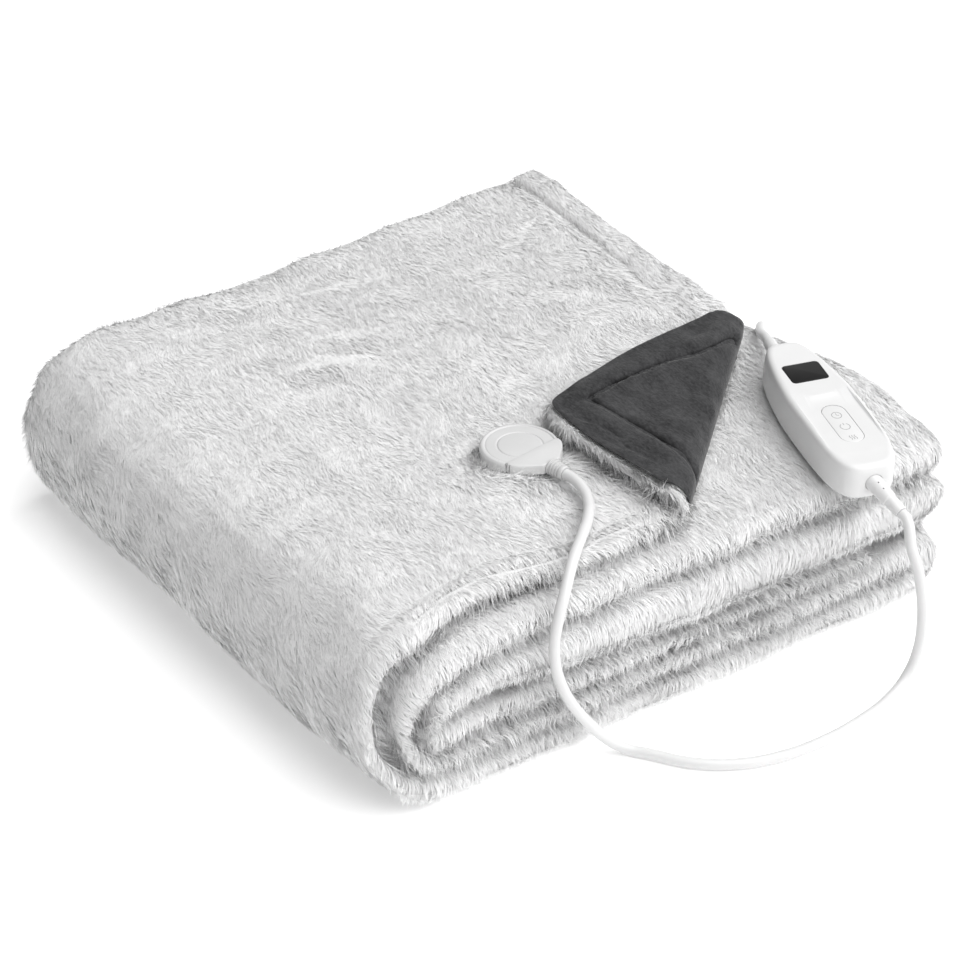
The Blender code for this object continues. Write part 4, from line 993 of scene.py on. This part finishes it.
def build_controller(plastic, glass, film, ink):
    up, flat = Vector((0.0, -CONTROLLER_SLOPE, 1.0)).normalized(), CONTROLLER_WAY.normalized()
    place = placed(CONTROLLER["place"], heading_turn(flat - up * flat.dot(up), up))
    housing = from_bmesh("handset", housing_mesh(), place)
    seats = []
    for row in (DISPLAY, KEYPAD):
        width, length = row["width"] + 2 * GAP, row["length"] + 2 * GAP
        outline = rounded_rectangle(width, length, row["radius"] + GAP, row["y"])
        seats.append(from_bmesh("seat", prism(outline, low=row["floor"] - GAP, high=30.0), place))
    radius = RELIEF_PROFILE[0][0] + GAP
    for row in RELIEFS:
        at = on_axis(row["place"], row["way"].normalized())
        seats.append(turned("seat", ((radius, -GAP), (radius, 18.0)), 64, at))
    show(cut(housing, *seats), plastic, "controller_plastic", "controller_housing")
    for name, row, material, slot, node in (
            ("display_pane", DISPLAY, glass, "display_window", "controller_display"),
            ("keypad_cover", KEYPAD, film, "keypad_film", "controller_keypad")):
        outline = rounded_rectangle(row["width"], row["length"], row["radius"], row["y"], 14)
        mesh = slab(outline, row["floor"], row["top"], row["edge"], row["y"])
        show(from_bmesh(name, mesh, place), material, slot, node)
    show(from_bmesh("keypad_icons", icons_mesh(), place), ink, "keypad_film")


# --- the lining
LINING_SEAM = (
    (146, -69), (128, -73.5), (112.9, -74.5), (86.8, -69.5), (56.4, -69.2), (35, -71), (29.6, -73.6),
    (31, -80), (32.6, -90.7), (34.3, -109.8), (36.4, -129.2), (38.3, -148.5), (38.5, -166),
)
LINING_FOLD = ((12, -84), (19.5, -104), (16.5, -128), (20, -150))
LINING_WAVES = (dict(length=26.0, high=0.45, seed=11), dict(length=9.0, high=0.2, seed=12))
SEAM = dict(depth=2.4, width=1.3, finer_within=5.0)
FOLD = dict(depth=0.9, width=1.3)
# On the upper side only: relief, and the seam's dark line, which is painted shade in its groove, come in
# between these heights of the normal.
UPPER = dict(lift=(0.0, 0.5), seam=(-0.3, 0.4))
# The padding beside the seam: on the hem's side and on the other, how high, and where it rises and falls.
PADDING = (dict(side=-1, high=1.4, rise=(0.0, 5.0), fall=(10.0, 16.0)),
           dict(side=1, high=0.9, rise=(0.5, 4.0), fall=(6.0, 18.0)))


def path_distance(points, path):
    """How far each point of the plan is from the path, and on which side of it: positive on its left."""
    path = np.array(path)
    best, side = np.full(len(points), np.inf), np.zeros(len(points))
    for a, b in zip(path, path[1:]):
        run, rel = b - a, points - a
        t = np.clip((rel @ run) / (run @ run), 0.0, 1.0)
        away = np.linalg.norm(rel - t[:, None] * run, axis=1)
        near = away < best
        best[near] = away[near]
        side[near] = np.sign(run[0] * rel[near, 1] - run[1] * rel[near, 0])
    return best, side


def build_lining(material):
    """The flannel side of the turned-back corner, with the grooves where its hem is sewn."""
    lining = finer_node("corner_lining", "lining_flannel", face_angle=40.0, shape_angle=70.0, halvings=2)
    mesh = bmesh.new()
    mesh.from_mesh(lining.data)
    middles = np.array([edge.verts[0].co + edge.verts[1].co for edge in mesh.edges])[:, :2] / (2 * MM)
    away = np.minimum(*(path_distance(middles, path)[0] for path in (LINING_SEAM, LINING_FOLD)))
    close = [edge for edge, far in zip(mesh.edges, away) if far < SEAM["finer_within"]]
    bmesh.ops.subdivide_edges(mesh, edges=close, cuts=2, use_grid_fill=True)
    mesh.to_mesh(lining.data)
    mesh.free()
    lining.data.shade_smooth()
    places, normals, _ = mesh_arrays(lining.data)
    lift = sum(row["high"] * waves(places, row["length"], row["seed"]) for row in LINING_WAVES)
    away, side = path_distance(places[:, :2] / MM, LINING_SEAM)
    seam = bell(away, SEAM["width"])
    for row in PADDING:
        rise, fall = ease(*row["rise"], away), 1.0 - ease(*row["fall"], away)
        lift += row["high"] * (side == row["side"]) * rise * fall
    lift -= SEAM["depth"] * seam
    lift -= FOLD["depth"] * bell(path_distance(places[:, :2] / MM, LINING_FOLD)[0], FOLD["width"])
    move_points(lining, places + normals * (lift * ease(*UPPER["lift"], normals[:, 2]) * MM)[:, None])
    # The flannel's colour reads this mask: painted shade along the seam's groove.
    give(lining.data, "seam", seam * ease(*UPPER["seam"], normals[:, 2]))
    show(lining, material, "lining", "corner_lining")


# --- behind the throw
MAINS_PLUG = dict(place=(-24.0, 283.0, 7.3), heading=Vector((-1.0, 0.05, 0.0)), power=3.6)
PLUG_SECTIONS = ((0, 6.4, 5.4), (2.5, 9.6, 6.3), (8, 12, 6.9), (19, 12.6, 6.9), (30, 12.8, 6.9),
                 (34, 12.6, 6.8), (35, 12.3, 6.6), (35.5, 11.6, 6))
PLUG_GRIP = dict(start=11.0, pitch=3.2, count=4, depth=0.7)
PLUG_SLEEVE = ((0.4, 0), (5, 0), (5, 3), (4.5, 3.7), (4.5, 7), (4.9, 8), (4.7, 10.6), (3.9, 11.1),
               (3.9, 12.3), (4.6, 12.8), (4.4, 15.2), (3.8, 15.7), (3.8, 16.9), (4.3, 17.4), (4.1, 20.4),
               (3.9, 22), (0.4, 22))
PLUG_SLEEVE_PLACE = (-23.7, 282.985, 7.3)
PIN_PROFILE = ((0.3, 0), (2, 0), (2, 8), (1.85, 8.4), (1.85, 17.2), (1.5, 18.3), (0.9, 18.9), (0.3, 19))
PINS = dict(left=(-60.22, 275.499, 7.3), right=(-59.291, 294.076, 7.3))
# The strap is doubled between the angles of its patch. Its section has shares of its width and thickness.
TIE = dict(centre=(96.0, 307.5, 12.3), half=(8.0, 10.6), power=5.0, width=8.0, thick=1.1, doubled=1.9,
           patch=(-55.0, 40.0), step=4.0)
TIE_SECTION = ((-0.5, 0.25), (-0.47, 0), (0.47, 0), (0.5, 0.25), (0.5, 0.8), (0.46, 1), (-0.46, 1),
               (-0.5, 0.8))


def build_mains_plug(plastic, vinyl, metal):
    row = MAINS_PLUG
    heading = row["heading"].normalized()
    place = placed(row["place"], heading_turn(heading))
    rings = []
    for along, half_width, half_height in through(PLUG_SECTIONS, 84):
        grip = (along - PLUG_GRIP["start"]) / PLUG_GRIP["pitch"]
        groove = PLUG_GRIP["depth"] * (0.5 - 0.5 * math.cos(2 * math.pi * grip)) ** 3
        half_height -= groove if 0.0 < grip < PLUG_GRIP["count"] else 0.0
        rings.append([(x, along, z) for x, z in superellipse(half_width, half_height, row["power"], 56)])
    show(from_bmesh("mains_plug_body", loft(rings), place), plastic, "plug_plastic", "mains_plug")
    sleeve = turned("mains_plug_sleeve", rounded(PLUG_SLEEVE, 0.3), 48, on_axis(PLUG_SLEEVE_PLACE, -heading))
    show(sleeve, vinyl, "relief_vinyl", "mains_plug_relief")
    for side, at in PINS.items():
        pin = turned(f"pin_{side}", rounded(PIN_PROFILE, 0.25), 32, on_axis(at, heading))
        show(pin, metal, "pin_metal", f"mains_pin_{side}")


def build_tie(material):
    """A soft strap round the coil, with its loose end laid over itself on the outside."""
    row = TIE
    half_x, half_y = row["half"]
    rings = []
    for turn in np.arange(-180.0, 180.0, row["step"]):
        thick = row["thick"] * (row["doubled"] if row["patch"][0] < turn < row["patch"][1] else 1.0)
        c, s = squared(math.radians(turn), row["power"])
        rings.append([(x * row["width"], (half_x + out * thick) * c, (half_y + out * thick) * s)
                      for x, out in TIE_SECTION])
    rings.append(rings[0])
    mesh = loft(rings, caps=False)
    bmesh.ops.remove_doubles(mesh, verts=mesh.verts, dist=1e-4)
    tie = from_bmesh("coil_strap", mesh, placed(row["centre"], Matrix.Identity(3)))
    show(tie, material, "tie_strap", "coil_tie")


build_camera()
build_light()
build_floor()
vinyl = moulded_plastic("lead_vinyl", 0.69, 0.73, 0.36, 500.0)
connector_flex, mains_flex = build_leads(vinyl)
throw_skin, fur = build_throw()
build_lining(flannel())
connector_white = moulded_plastic("connector_plastic", 0.58, 0.62, 0.42)
controller_white = moulded_plastic("controller_plastic", 0.71, 0.74, 0.34)
sleeve_white = moulded_plastic("relief_vinyl", 0.69, 0.73, 0.4)
build_socket(connector_white)
build_plug_relief(connector_white)
keypad_white = moulded_plastic("keypad_film", 0.7, 0.73, 0.5)
build_controller(controller_white, display_glass(), keypad_white, icon_ink())
build_reliefs(sleeve_white)
plug_white = moulded_plastic("plug_plastic", 0.72, 0.76, 0.4)
build_mains_plug(plug_white, sleeve_white, bright_metal())
build_tie(strap_weave())
